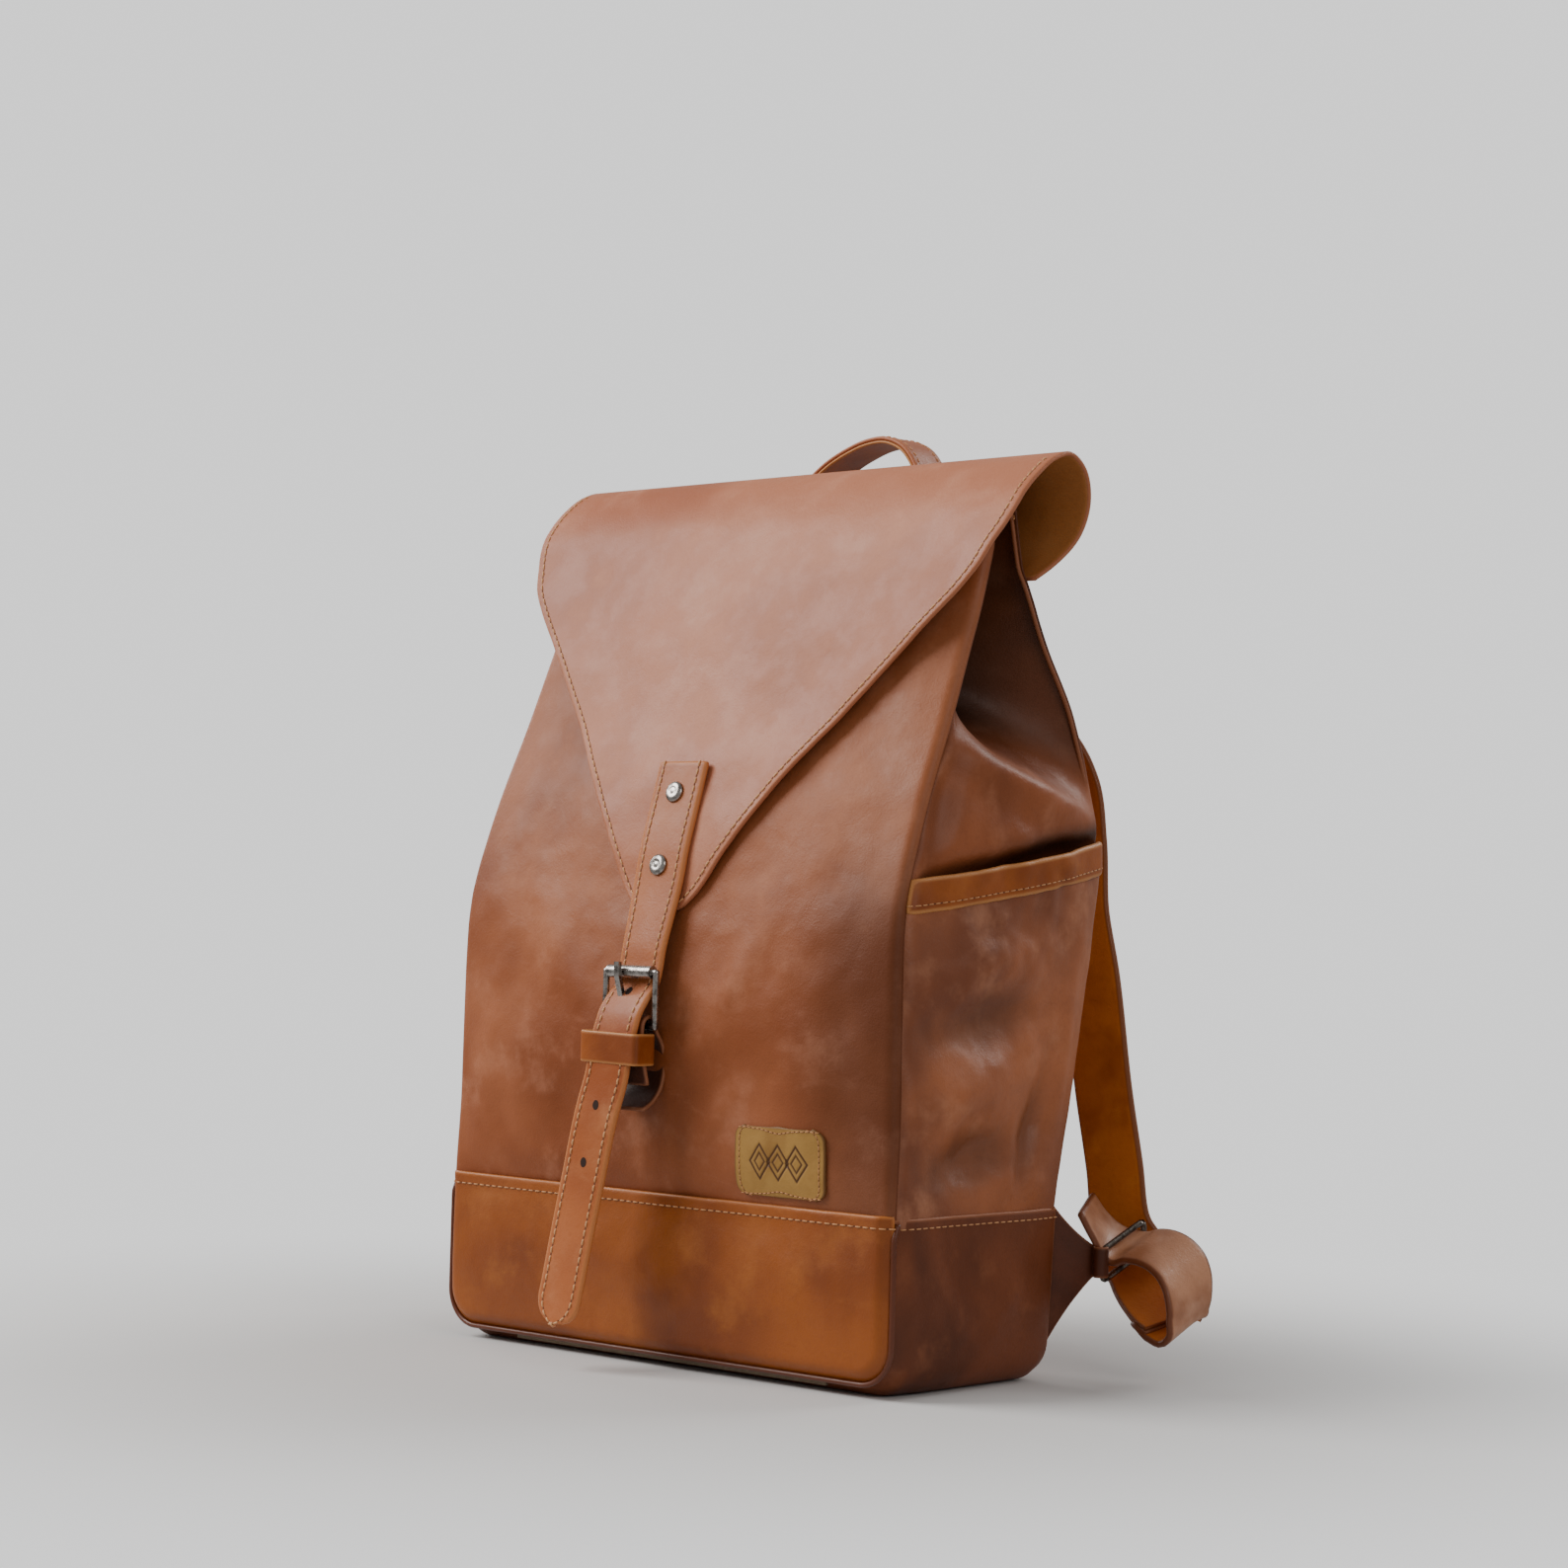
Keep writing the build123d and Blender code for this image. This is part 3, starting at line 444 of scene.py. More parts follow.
class Nodes:
    """Short calls for building a material's node tree."""

    def __init__(self, name):
        self.material = bpy.data.materials.new(name)
        self.material.use_nodes = True
        self.tree = self.material.node_tree
        self.shader = self.tree.nodes["Principled BSDF"]
        self.coordinates = self.tree.nodes.new("ShaderNodeTexCoord").outputs["Object"]

    def link(self, source, target):
        self.tree.links.new(source, target)

    def put(self, value, socket):
        """Link a socket, or set a number or a colour of three sRGB values from 0 to 255."""
        if isinstance(value, bpy.types.NodeSocket):
            self.link(value, socket)
        elif isinstance(value, tuple):
            socket.default_value = srgb(*value)
        else:
            socket.default_value = value

    def node(self, kind, **values):
        """A new node of that kind, with its inputs set or linked."""
        node = self.tree.nodes.new("ShaderNode" + kind)
        for name, value in values.items():
            self.put(value, node.inputs[name.replace("_", " ")])
        return node

    def surface(self, **values):
        """Set or link inputs of the shader itself."""
        for name, value in values.items():
            self.put(value, self.shader.inputs[name.replace("_", " ")])

    def mapped(self, **values):
        return self.node("Mapping", Vector=self.coordinates, **values).outputs["Vector"]

    def noise(self, scale, detail=3.0, roughness=0.55, distortion=0.0, vector=None):
        node = self.node("TexNoise", Scale=scale, Detail=detail, Roughness=roughness, Distortion=distortion,
                         Vector=vector or self.coordinates)
        return node.outputs["Fac"]

    def cells(self, scale):
        node = self.node("TexVoronoi", Scale=scale, Vector=self.coordinates)
        node.feature = "SMOOTH_F1"
        return node.outputs["Distance"]

    def attribute(self, name):
        node = self.node("Attribute")
        node.attribute_name = name
        return node.outputs["Fac"]

    def remap(self, value, low, high, to_low=0.0, to_high=1.0):
        node = self.node("MapRange", Value=value, From_Min=low, From_Max=high, To_Min=to_low, To_Max=to_high)
        node.interpolation_type = "SMOOTHSTEP"
        return node.outputs["Result"]

    def multiply(self, a, b):
        node = self.tree.nodes.new("ShaderNodeMath")
        node.operation = "MULTIPLY"
        self.link(a, node.inputs[0])
        self.link(b, node.inputs[1])
        return node.outputs[0]

    def mix(self, factor, a, b):
        node = self.tree.nodes.new("ShaderNodeMix")
        node.data_type = "RGBA"
        for name, value in (("Factor", factor), ("A", a), ("B", b)):
            self.put(value, node.inputs[name])
        return node.outputs["Result"]

    def bump(self, height, strength, distance, normal=None):
        node = self.node("Bump", Height=height, Strength=strength, Distance=distance)
        if normal is not None:
            self.link(normal, node.inputs["Normal"])
        return node.outputs["Normal"]


def leather(name, base, dark, light, edge, roughness=0.42, mottle=9.0, grain=1.0, coat=0.10, seed=0.0,
            burnt=None, shine=0.36):
    """Waxed leather: cloudy colour, fine grain, creases, edges of another tone, and painted shade after the
    fold attribute.
    """
    n = Nodes(name)
    n.coordinates = n.mapped(Location=[seed, -seed, 0.5 * seed])
    clouds = n.noise(mottle, 3.0, 0.55, 0.4)
    patches = n.noise(38.0, 4.0, 0.6)
    flecks = n.noise(420.0, 3.0, 0.6)
    streaks = n.noise(24.0, 4.0, 0.6, 0.6, n.mapped(Scale=[1.0, 1.0, 2.4]))
    colour = n.mix(n.remap(clouds, 0.34, 0.62), dark, base)
    colour = n.mix(n.remap(patches, 0.50, 0.78, 0.0, 0.55), colour, light)
    colour = n.mix(n.remap(streaks, 0.60, 0.80, 0.0, 0.30), colour, light)
    colour = n.mix(n.remap(flecks, 0.30, 0.52, 0.16, 0.0), colour, dark)
    rim = n.remap(n.attribute("edge_mm"), -0.8, 1.0, 1.0, 0.0)
    colour = n.mix(rim, colour, edge)
    # Painted shade: the fold attribute mixes in near-black where a sheet lies in a hollow, crease or valley,
    # or turns away from the light.
    colour = n.mix(n.attribute("fold"), colour, (16, 6, 2))
    if burnt is not None:
        colour = n.mix(n.remap(n.attribute("burnt"), 0.15, 0.8), colour, burnt)
    wear = n.remap(patches, 0.35, 0.70, roughness - 0.05, roughness + 0.09)
    pebbles = n.cells(1150.0)
    creases = n.remap(n.noise(150.0, 6.0, 0.62, 1.2), 0.42, 0.58)
    normal = n.bump(creases, 0.10 * grain, 0.0006)
    normal = n.bump(pebbles, 0.16 * grain, 0.00035, normal)
    normal = n.bump(n.noise(2600.0, 2.0), 0.06 * grain, 0.0002, normal)
    n.surface(Base_Color=colour, Roughness=wear, Normal=normal, Specular_IOR_Level=shine, Coat_Weight=coat,
              Coat_Roughness=0.34)
    return n.material


def suede(name, base, dark):
    """The open, fibrous inner side of leather."""
    n = Nodes(name)
    clouds = n.noise(30.0, 4.0, 0.6)
    fibres = n.noise(900.0, 4.0, 0.7, 0.8)
    colour = n.mix(n.remap(clouds, 0.35, 0.65), dark, base)
    colour = n.mix(n.remap(fibres, 0.35, 0.6, 0.35, 0.0), colour, dark)
    n.surface(Base_Color=colour, Roughness=0.78, Normal=n.bump(fibres, 0.35, 0.0004))
    return n.material


def woven(name, base, dark):
    """Plain woven lining cloth."""
    n = Nodes(name)
    waves = []
    for direction in ("X", "Z"):
        node = n.node("TexWave", Scale=520.0, Distortion=0.4, Vector=n.coordinates)
        node.bands_direction = direction
        waves.append(node.outputs["Fac"])
    weave = n.multiply(*waves)
    n.surface(Base_Color=n.mix(weave, dark, base), Roughness=0.85, Normal=n.bump(weave, 0.4, 0.0003))
    return n.material


def metal(name, base, dark, roughness=0.32):
    """Antique plated metal: bright where it is rubbed and dark in between."""
    n = Nodes(name)
    tarnish = n.noise(260.0, 5.0, 0.65)
    scratches = n.noise(900.0, 3.0, 0.6, 0.0, n.mapped(Scale=[1.0, 1.0, 6.0]))
    wear = n.remap(scratches, 0.35, 0.65, roughness - 0.08, roughness + 0.12)
    n.surface(Base_Color=n.mix(n.remap(tarnish, 0.34, 0.56), dark, base), Roughness=wear, Metallic=1.0,
              Normal=n.bump(tarnish, 0.05, 0.0001))
    return n.material


def thread(name, base, dark):
    """Waxed twisted thread."""
    n = Nodes(name)
    twist = n.noise(1500.0, 2.0, 0.5)
    n.surface(Base_Color=n.mix(twist, dark, base), Roughness=0.55, Normal=n.bump(twist, 0.3, 0.0002))
    return n.material


def board(name, base, dark):
    """Pressed fibre board, foam, and the painted shade inside holes."""
    n = Nodes(name)
    n.surface(Base_Color=n.mix(n.noise(300.0, 4.0, 0.7), dark, base), Roughness=0.9)
    return n.material


BODY = leather("body_leather", (160, 94, 58), (130, 66, 30), (180, 120, 90), (116, 58, 28), 0.50, coat=0.0,
               shine=0.30)
FLAP = leather("flap_leather", (182, 114, 82), (164, 94, 62), (198, 138, 110), (176, 108, 74), 0.46,
               coat=0.0, seed=0.7, shine=0.34)
BASE = leather("base_leather", (150, 78, 16), (118, 54, 8), (168, 98, 36), (172, 100, 40), 0.44, 12.0,
               coat=0.05, seed=1.3)
SIDE = leather("side_leather", (156, 88, 52), (112, 56, 26), (178, 116, 84), (140, 84, 54), 0.48, 10.0, 1.0,
               0.0, seed=2.1, shine=0.32)
POCKET = leather("pocket_leather", (166, 96, 56), (118, 60, 28), (188, 128, 94), (140, 84, 54), 0.44, 10.0,
                 1.0, 0.0, seed=2.4, shine=0.50)
# Painted shade: the side leather made darker for the gusset round the base, which lies in shade.
SHADED_SIDE = leather("shaded_side_leather", (114, 58, 28), (82, 38, 14), (138, 82, 52), (150, 92, 60), 0.50,
                   12.0, 1.0, 0.0, seed=2.8, shine=0.32)
STRAP = leather("strap_leather", (174, 98, 50), (150, 74, 26), (190, 124, 78), (188, 116, 64), 0.46, 16.0,
                0.8, 0.04, seed=3.3)
TRIM = leather("trim_leather", (158, 82, 20), (126, 58, 8), (176, 104, 40), (190, 128, 72), 0.46, 20.0, 0.8,
               0.04, seed=4.4)
DARK = leather("dark_leather", (92, 44, 22), (60, 26, 10), (118, 68, 44), (136, 84, 56), 0.52, 14.0, 0.8,
               0.0, seed=5.0, shine=0.3)
LOOP_SIDE = leather("lower_strap_leather", (190, 136, 104), (152, 98, 66), (212, 170, 146), (112, 60, 32),
                    0.4, 26.0, 1.0, 0.08, seed=5.8)
LABEL = leather("label_leather", (166, 126, 62), (140, 100, 42), (176, 140, 76), (110, 74, 34), 0.55, 30.0,
                0.6, 0.0, seed=6.0, burnt=(80, 48, 18))
LINING_LEATHER = leather("strap_lining", (196, 110, 32), (160, 80, 16), (212, 132, 52), (120, 62, 22), 0.6,
                         22.0, 1.2, 0.0, seed=7.0)
CURL_LINING = leather("flap_lining", (186, 122, 66), (156, 94, 44), (192, 134, 76), (196, 138, 88), 0.55,
                      18.0, 0.8, 0.0, seed=8.0)
SUEDE = suede("leather_back", (120, 72, 40), (84, 46, 22))
CLOTH = woven("lining_cloth", (112, 92, 72), (66, 50, 38))
LOOP_LINING = leather("loop_lining", (226, 138, 52), (200, 112, 34), (236, 158, 76), (130, 70, 26), 0.6,
                      22.0, 1.2, 0.0, seed=7.7)
PIPE = leather("piping_leather", (96, 46, 22), (66, 30, 12), (116, 62, 36), (96, 46, 22), 0.36, 14.0, 0.8,
               seed=5.6)
NICKEL = metal("antique_nickel", (172, 168, 164), (104, 98, 94), 0.26)
# Painted shade: a darker copy of the antique nickel for the side rings, which sit in shade.
SHADED_NICKEL = metal("shaded_nickel", (112, 106, 100), (58, 52, 48), 0.28)
THREAD = thread("tan_thread", (212, 156, 106), (164, 108, 64))
PALE_THREAD = thread("pale_thread", (224, 172, 122), (184, 130, 84))
# Painted shade: the dark inside of the stitch holes between stitches.
STITCH_HOLE_SHADE = board("stitch_hole_shade", (116, 68, 40), (90, 48, 26))
# Painted shade: what is seen through the punched holes of the billet.
PUNCHED_HOLE_SHADE = board("punched_hole_shade", (50, 24, 12), (30, 14, 8))
FOAM = board("foam", (200, 196, 184), (160, 156, 146))
BOARD = board("board", (150, 134, 112), (110, 96, 78))


# ---- lines of the bag, in millimetres ----------------------------------------------------------
# Side view of the front and back, y at height z, along the corner seams.
FRONT_Y = smooth_line([0, 40, SEAM_Z, 122, 150, 175, 198, 214, 228, 243, 262, 300, 330, 350, MOUTH_Z, 410],
                      [-56, -57.5, -57, -55, -55, -55, -54.6, -53, -49.6, -44.6, -37.5, -21, -9, -1, 6.5, 20])
BACK_Y = smooth_line([0, 44, SEAM_Z, 111, 157, 207, 240, 262, 304, 339, 364, 372, 410],
                     [55, 58, 60.5, 67.5, 77.5, 87, 91.5, 89.5, 76.5, 55, 42.5, 38, 34])
HALF = smooth_line([0, SEAM_Z, 122, 200, 260, 330, MOUTH_Z, 410],
                   [BODY_HALF, BODY_HALF, 140.5, 139.6, 138, 135.5, MOUTH_HALF, 130])
BULGE = smooth_line([SEAM_Z, 95, 122, 150, 175, 200, 226, 262, 300, 330, 350, MOUTH_Z],
                    [0, 6, 10.5, 12.0, 11.0, 8.0, 5.0, 7.6, 9.0, 8.8, 8.6, 7.6])
MOUTH_TOP = MOUTH_Z + 9.0  # leather of the mouth, hidden under the flap
BACK_RISE = 25.0           # the back and the rear of the gusset reach this much higher
FRONT_WRAP = 4.0           # how far the front panel turns round the corner before its seam


def corner_point(s, z):
    """Point of the front panel's cross section: s is the distance from its middle, signed."""
    half = float(HALF(z))
    radius = FRONT_WRAP
    flat = half - radius
    side = math.copysign(1.0, s)
    s = abs(s)
    y = float(FRONT_Y(z))
    if s <= flat:
        return side * s, y
    turn = (s - flat) / radius
    quarter = math.pi / 2
    if turn <= quarter:
        return side * (flat + radius * math.sin(turn)), y + radius * (1 - math.cos(turn))
    return side * half, y + radius + (turn - quarter) * radius


def front_seam_y(z):
    return FRONT_Y(z) + FRONT_WRAP + 1.2


def back_seam_y(z):
    return BACK_Y(z) - 1.5


# ---- body ------------------------------------------------------------------------------------
FRONT_FOLDS = [(3.5, 0, 30, 150, 26, 0, 0),          # pull of the buckle
               (-3.4, 52, 26, 128, 26, 0, 0), (-2.4, -56, 30, 112, 22, 0, 0),
               (2.0, 36, 10, 180, 34, 0.55, 150), (1.6, -34, 11, 190, 30, -0.75, 150),
               (1.6, 26, 9, 112, 22, 0.9, 100), (-1.8, 112, 12, 150, 60, 0, 0)]
LOW_SIDE_FOLDS = [(-3.4, -6, 12, 46, 22, -0.5, 45)]
FLAP_DISHES = [(-2.2, 70, 50, 345, 40, 0, 0), (-2.0, -78, 46, 350, 40, 0, 0)]


def front_panel():
    """One soft sheet: it bulges at the buckle, leans back above and turns round both corners."""
    rows, columns = 150, 150
    zs = np.linspace(SEAM_Z - 3, MOUTH_TOP, rows)
    grid = np.zeros((rows, columns, 3))
    for i, z in enumerate(zs):
        reach = float(HALF(z)) - FRONT_WRAP + FRONT_WRAP * math.pi / 2 + 0.4
        for j, share in enumerate(np.linspace(-1, 1, columns)):
            x, y = corner_point(share * reach, z)
            across = min(1.0, abs(x) / float(HALF(z)))
            y -= float(BULGE(z)) * (1 - across ** 3.4)
            grid[i, j] = (x, y, z)
    x, z = grid[..., 0], grid[..., 2]
    free = ease(z, SEAM_Z, SEAM_Z + 25) * (1 - ease(np.abs(x), 118, 136))
    waves = 1.8 * rumple(grid, 80, 3.1) + 0.7 * rumple(grid, 26, 9.7)
    grid[..., 1] -= free * (ridges(x, z, FRONT_FOLDS) + waves)
    sheet = Sheet("front_panel_leather", grid, LEATHER, BODY, SUEDE)
    # Painted shade: darker toward the right corner only, where the panel turns away from the light, fading
    # out higher up.
    add_tone(sheet, "fold", 0.42 * ease(x, 76, 122) * (1 - 0.8 * ease(z, 205, 262)))
    finish_piece(sheet.object, "bag", "body_leather", "front_panel", "mouth_facing")
    return sheet


def outline_points(side_inset, low, radius, spacing, top=SEAM_Z):
    """The front outline from the left seam round the bottom to the right seam, as (x, z)."""
    half = BASE_HALF - side_inset
    rise = int(SEAM_Z / spacing)
    points = [(-half, z) for z in np.linspace(top, low + radius, rise)]
    for angle in np.linspace(0, math.pi / 2, 15)[1:]:
        points.append((-half + radius * (1 - math.cos(angle)), low + radius * (1 - math.sin(angle))))
    flat = half - radius
    for x in np.linspace(-flat, flat, int(2 * BASE_HALF / spacing))[1:]:
        points.append((x, low))
    for angle in np.linspace(0, math.pi / 2, 15)[1:]:
        points.append((flat + radius * math.sin(angle), low + radius * (1 - math.cos(angle))))
    points += [(half, z) for z in np.linspace(low + radius, top, rise)[1:]]
    return np.array(points)


BAND_LOW = 7.0           # lower edge of the front base panel, above the strip that turns under
PIPING_RADIUS = 1.3


def base_front():
    """Front base panel: a grid from its straight top edge down to its rounded outline."""
    columns, rows = 160, 46
    top = SEAM_Z + 2.5       # the panel laps over the front panel
    half = BASE_HALF - 1.6
    radius = CORNER_RADIUS - 4
    flat = half - radius
    grid = np.zeros((rows, columns, 3))
    for j, share in enumerate(np.linspace(-1, 1, columns)):
        x = half * (0.3 * math.sin(share * math.pi / 2) + 0.7 * share)
        low = BAND_LOW
        if abs(x) > flat:
            low += radius - math.sqrt(max(0.0, radius ** 2 - (abs(x) - flat) ** 2))
        for i, down in enumerate(np.linspace(0, 1, rows)):
            grid[i, j] = (x, 0, top * (1 - down) + low * down)
    x, z = grid[..., 0], grid[..., 2]
    beyond = np.clip(np.abs(x) - flat, 0, None)
    below = np.clip(radius + BAND_LOW - z, 0, None)
    straight = np.minimum(half - np.abs(x), z - BAND_LOW)
    near = np.where((beyond > 0) & (below > 0), radius - np.hypot(beyond, below), straight)
    roll = 4.5 * (1 - ease(near, -1.0, 8.0)) ** 2
    swell = 3.0 * (1 - (np.abs(x) / half) ** 2.4) * bell(z, 48, 30)
    lip = 0.7 * bell(z, top, 5)
    wave = (1.0 * rumple(grid, 60, 5.2) + 0.4 * rumple(grid, 22, 2.2)) * ease(near, 0, 20)
    grid[..., 1] = FRONT_Y(z) - 1.7 - swell - lip + roll - wave
    sheet = Sheet("base_band_leather", grid[::-1], LEATHER, BASE, SUEDE)
    finish_piece(sheet.object, "bag", "base_leather", "front_base_band")
    return sheet


def piping():
    """Dark corded seam round the front base panel, from side seam to side seam."""
    x, z = outline_points(1.0, BAND_LOW - 1.0, CORNER_RADIUS - 3.5, 3.0).T
    tucked_end = 2.5 * ease(z, SEAM_Z - 8, SEAM_Z)
    path = np.stack([x, BASE_FRONT + 1.4 + tucked_end, z], axis=1)
    obj = tube("front_piping_cord", path, PIPING_RADIUS, PIPE)
    finish_piece(obj, "bag", "piping_leather", "front_piping")


def base_gusset():
    """Continuous strip of side leather down one side, under the bag and up the other."""
    columns = 44
    spacing = 5.0
    back_inset = 1.6
    front = BASE_FRONT + 3.0
    shares = np.linspace(0, 1, columns) ** 1.2
    grid = np.zeros((len(outline_points(0, 0, 10, spacing)), columns, 3))
    depth = float(BACK_Y(20.0)) - back_inset - front
    for j, share in enumerate(shares):
        run = share * depth
        radius = 19 - 4 * float(ease(run, 2, 34))
        front_tuck = 1 - float(ease(run, -3.0, 11.0))
        back_tuck = 0.35 * (1 - float(ease(depth - run, -1, 7)))
        tuck = max(front_tuck, back_tuck)
        x, z = outline_points(2.5 * tuck, 0.2 + 7.0 * tuck, radius, spacing, SEAM_Z + 1).T
        grid[:, j] = np.stack([x, front + share * (BACK_Y(z) - back_inset - front), z], axis=1)
    x, y, z = grid[..., 0], grid[..., 1], grid[..., 2]
    free = ease(z, 8, 40) * bell(y, 2, 44)
    dents = ridges(y, z, LOW_SIDE_FOLDS) + 1.8 * bell(y - 0.6 * (z - 45), 24, 10)
    grid[..., 0] += np.sign(x) * free * (1.4 + dents + 1.6 * rumple(grid, 40, 1.9))
    # Its leather is the side leather, darkened as painted shade.
    sheet = Sheet("base_gusset_leather", grid, LEATHER, SHADED_SIDE, SUEDE)
    finish_piece(sheet.object, "bag", "side_leather", "base_gusset")
    return sheet


def back_panel():
    """Padded back with a stitched border."""
    rows, columns = 120, 90
    grid = np.zeros((rows, columns, 3))
    low, top = 3.0, MOUTH_TOP + BACK_RISE
    for i, z in enumerate(np.linspace(low, top, rows)):
        half = float(HALF(max(z, SEAM_Z))) - 1.0
        if z < CORNER_RADIUS:
            radius = CORNER_RADIUS - 2
            half = BASE_HALF - 3 - radius + math.sqrt(max(0.0, radius ** 2 - (radius - (z - 2.5)) ** 2))
        for j, share in enumerate(np.linspace(1, -1, columns)):
            grid[i, j] = (share * half, float(BACK_Y(z)), z)
    x, z = grid[..., 0], grid[..., 2]
    half = np.abs(x[:, :1])
    near = np.minimum(half - np.abs(x), np.minimum(z - low, top - z))
    pad = 4.0 * ease(near, 10, 34) - 0.9 * bell(near, 12, 2.5)
    turn = 5.0 * (1 - ease(near, -0.5, 6)) ** 2
    grid[..., 1] += pad - turn + 0.8 * rumple(grid, 60, 2.2) * ease(near, 5, 30)
    sheet = Sheet("back_panel_leather", grid, LEATHER, SIDE, SUEDE)
    finish_piece(sheet.object, "bag", "side_leather", "back_panel")
    return sheet


def gusset_depth(z):
    """How far the lining stands in at height z to clear the inward fold of the side."""
    return 66 * ease(z, 256, 318)


def gusset_fold(u, z):
    """How far the side gusset stands out (+) or folds in (-) at share u from front to back."""
    crease = 290 - 32 * u
    above = ease(z, crease - 3, crease + 50)
    deep = np.where(u < 0.36, (u / 0.36) ** 0.75, ((1 - u) / 0.64) ** 1.1)
    hollow = -62 * above * deep
    across = np.sin(math.pi * np.clip(u, 0, 1)) ** 0.7
    between = ease(z, 218 + 22 * u, 242 + 14 * u) * (1 - ease(z, crease - 10, crease + 16))
    roll = 12.0 * between * across
    ridge = 3.2 * bell(z, crease - 2, 5.5) * across
    crook = -3.0 * bell(z, crease - 16 - 6 * u, 7) * bell(u, 0.55, 0.3)
    behind = -9.0 * (1 - ease(z, 216 + 21 * u, 236 + 20 * u)) * ease(u, 0.0, 0.12) * (1 - ease(u, 0.88, 1.0))
    tuck = -5.0 * bell(u, 0.06, 0.06) * bell(z, 262, 26)
    return hollow + roll + ridge + crook + behind + tuck


def side_gusset(side):
    """Upper side leather: a puffed roll over the pocket and a deep inward fold up to the mouth."""
    rows, columns = 110, 70
    grid = np.zeros((rows, columns, 3))
    u = np.linspace(0, 1, columns)[None, :] * np.ones((rows, 1))
    low = SEAM_Z - 6
    z = low + np.linspace(0, 1, rows)[:, None] * (MOUTH_TOP + BACK_RISE * u - low)
    front, back = front_seam_y(z), back_seam_y(z)
    grid[..., 0], grid[..., 1], grid[..., 2] = HALF(z), front + u * (back - front), z
    free = np.sin(math.pi * u) ** 0.6
    grid[..., 0] += gusset_fold(u, z) + free * (2.0 * rumple(grid, 36, 4.4) + 0.7 * rumple(grid, 14, 8.1))
    grid[..., 0] -= 2.2 * (bell(u, 0, 0.012) + bell(u, 1, 0.012))
    grid[..., 0] *= side
    tag = TAG[side]
    sheet = Sheet("side_gusset_leather_" + tag, grid, LEATHER, SIDE, SUEDE, flip=side < 0)
    # Painted shade: near-black in the inward fold under the flap's curl, less toward the back, and a painted
    # crease shadow just above the pocket's band.
    hollow = ease(z, 296 - 32 * u, 318 - 24 * u)
    depth = hollow * (0.98 - 0.4 * ease(u, 0.35, 0.9)) + 0.85 * bell(z, 231 + 20 * u, 6) * ease(u, 0.3, 0.6)
    add_tone(sheet, "fold", depth)
    finish_piece(sheet.object, "bag", "side_leather", "side_gusset_" + tag)


def pocket_top(u):
    """Height of the pocket's edge from front to back."""
    return 226 + 3 * np.sin(np.pi * u * 0.5) + 17.5 * u ** 1.25


BAND_HEIGHT = 13.0


def pocket_grid(side, low, high, rows, columns, stand_off):
    """Points of the pocket's outer face between two shares of its height."""
    grid = np.zeros((rows, columns, 3))
    for j, u in enumerate(np.linspace(0, 1, columns)):
        top = float(pocket_top(u))
        bottom = SEAM_Z - 2
        for i, share in enumerate(np.linspace(0, 1, rows)):
            z = low(top, bottom) * (1 - share) + high(top, bottom) * share
            front = float(front_seam_y(z))
            back = float(back_seam_y(z))
            grid[i, j] = (float(HALF(z)), front + u * (back - front), z)
    u = np.linspace(0, 1, columns)[None, :] * np.ones((rows, 1))
    z = grid[..., 2]
    rise = (z - SEAM_Z) / (pocket_top(u) - SEAM_Z)
    belly = (3.2 + 3.6 * ease(rise, 0.2, 1.0)) * np.sin(math.pi * u) ** 0.8 * ease(rise, -0.02, 0.14)
    gape = 2.2 * ease(rise, 0.8, 1.0) * bell(u, 0.66, 0.24)
    free = np.sin(math.pi * u) ** 0.6 * ease(rise, 0.0, 0.12)
    rise_back = z - 0.16 * grid[..., 1]
    folds = (3.6 * bell(rise_back, 135, 15) - 3.4 * bell(rise_back, 164, 12)) * bell(u, 0.34, 0.36)
    folds += (2.6 * bell(rise_back, 190, 13) - 3.0 * bell(rise_back, 104, 12)) * bell(u, 0.38, 0.34)
    folds -= 3.0 * bell(u, 0.74 + 0.0009 * (z - 110), 0.06) * bell(z, 118, 34)
    folds += 2.6 * bell(u, 0.90, 0.06) * bell(z, 150, 50)
    bend = free * (1.9 * folds + 3.2 * rumple(grid, 44, 6.6) + 0.9 * rumple(grid, 15, 7.3))
    grid[..., 0] += stand_off + belly + gape + bend
    grid[..., 0] -= 1.6 * (bell(u, 0, 0.015) + bell(u, 1, 0.012))
    grid[..., 0] *= side
    return grid, bend


def side_pocket(side):
    tag = TAG[side]
    panel, bend = pocket_grid(side, lambda top, low: low, lambda top, low: top - BAND_HEIGHT + 3, 90, 70, 1.6)
    sheet = Sheet("side_pocket_leather_" + tag, panel, 1.8, POCKET, SUEDE, flip=side < 0)
    # Painted shade in the valleys of the pocket's folds.
    add_tone(sheet, "fold", 0.42 * ease(-bend, -1.5, 5.5))
    finish_piece(sheet.object, "bag", "side_leather", "side_pocket_" + tag)
    strip = pocket_grid(side, lambda top, low: top - BAND_HEIGHT, lambda top, low: top, 10, 70, 3.0)[0]
    band = Sheet("pocket_band_leather_" + tag, strip, 3.2, TRIM, TRIM, flip=side < 0)
    finish_piece(band.object, "bag", "base_leather", "pocket_band_" + tag)
    return band


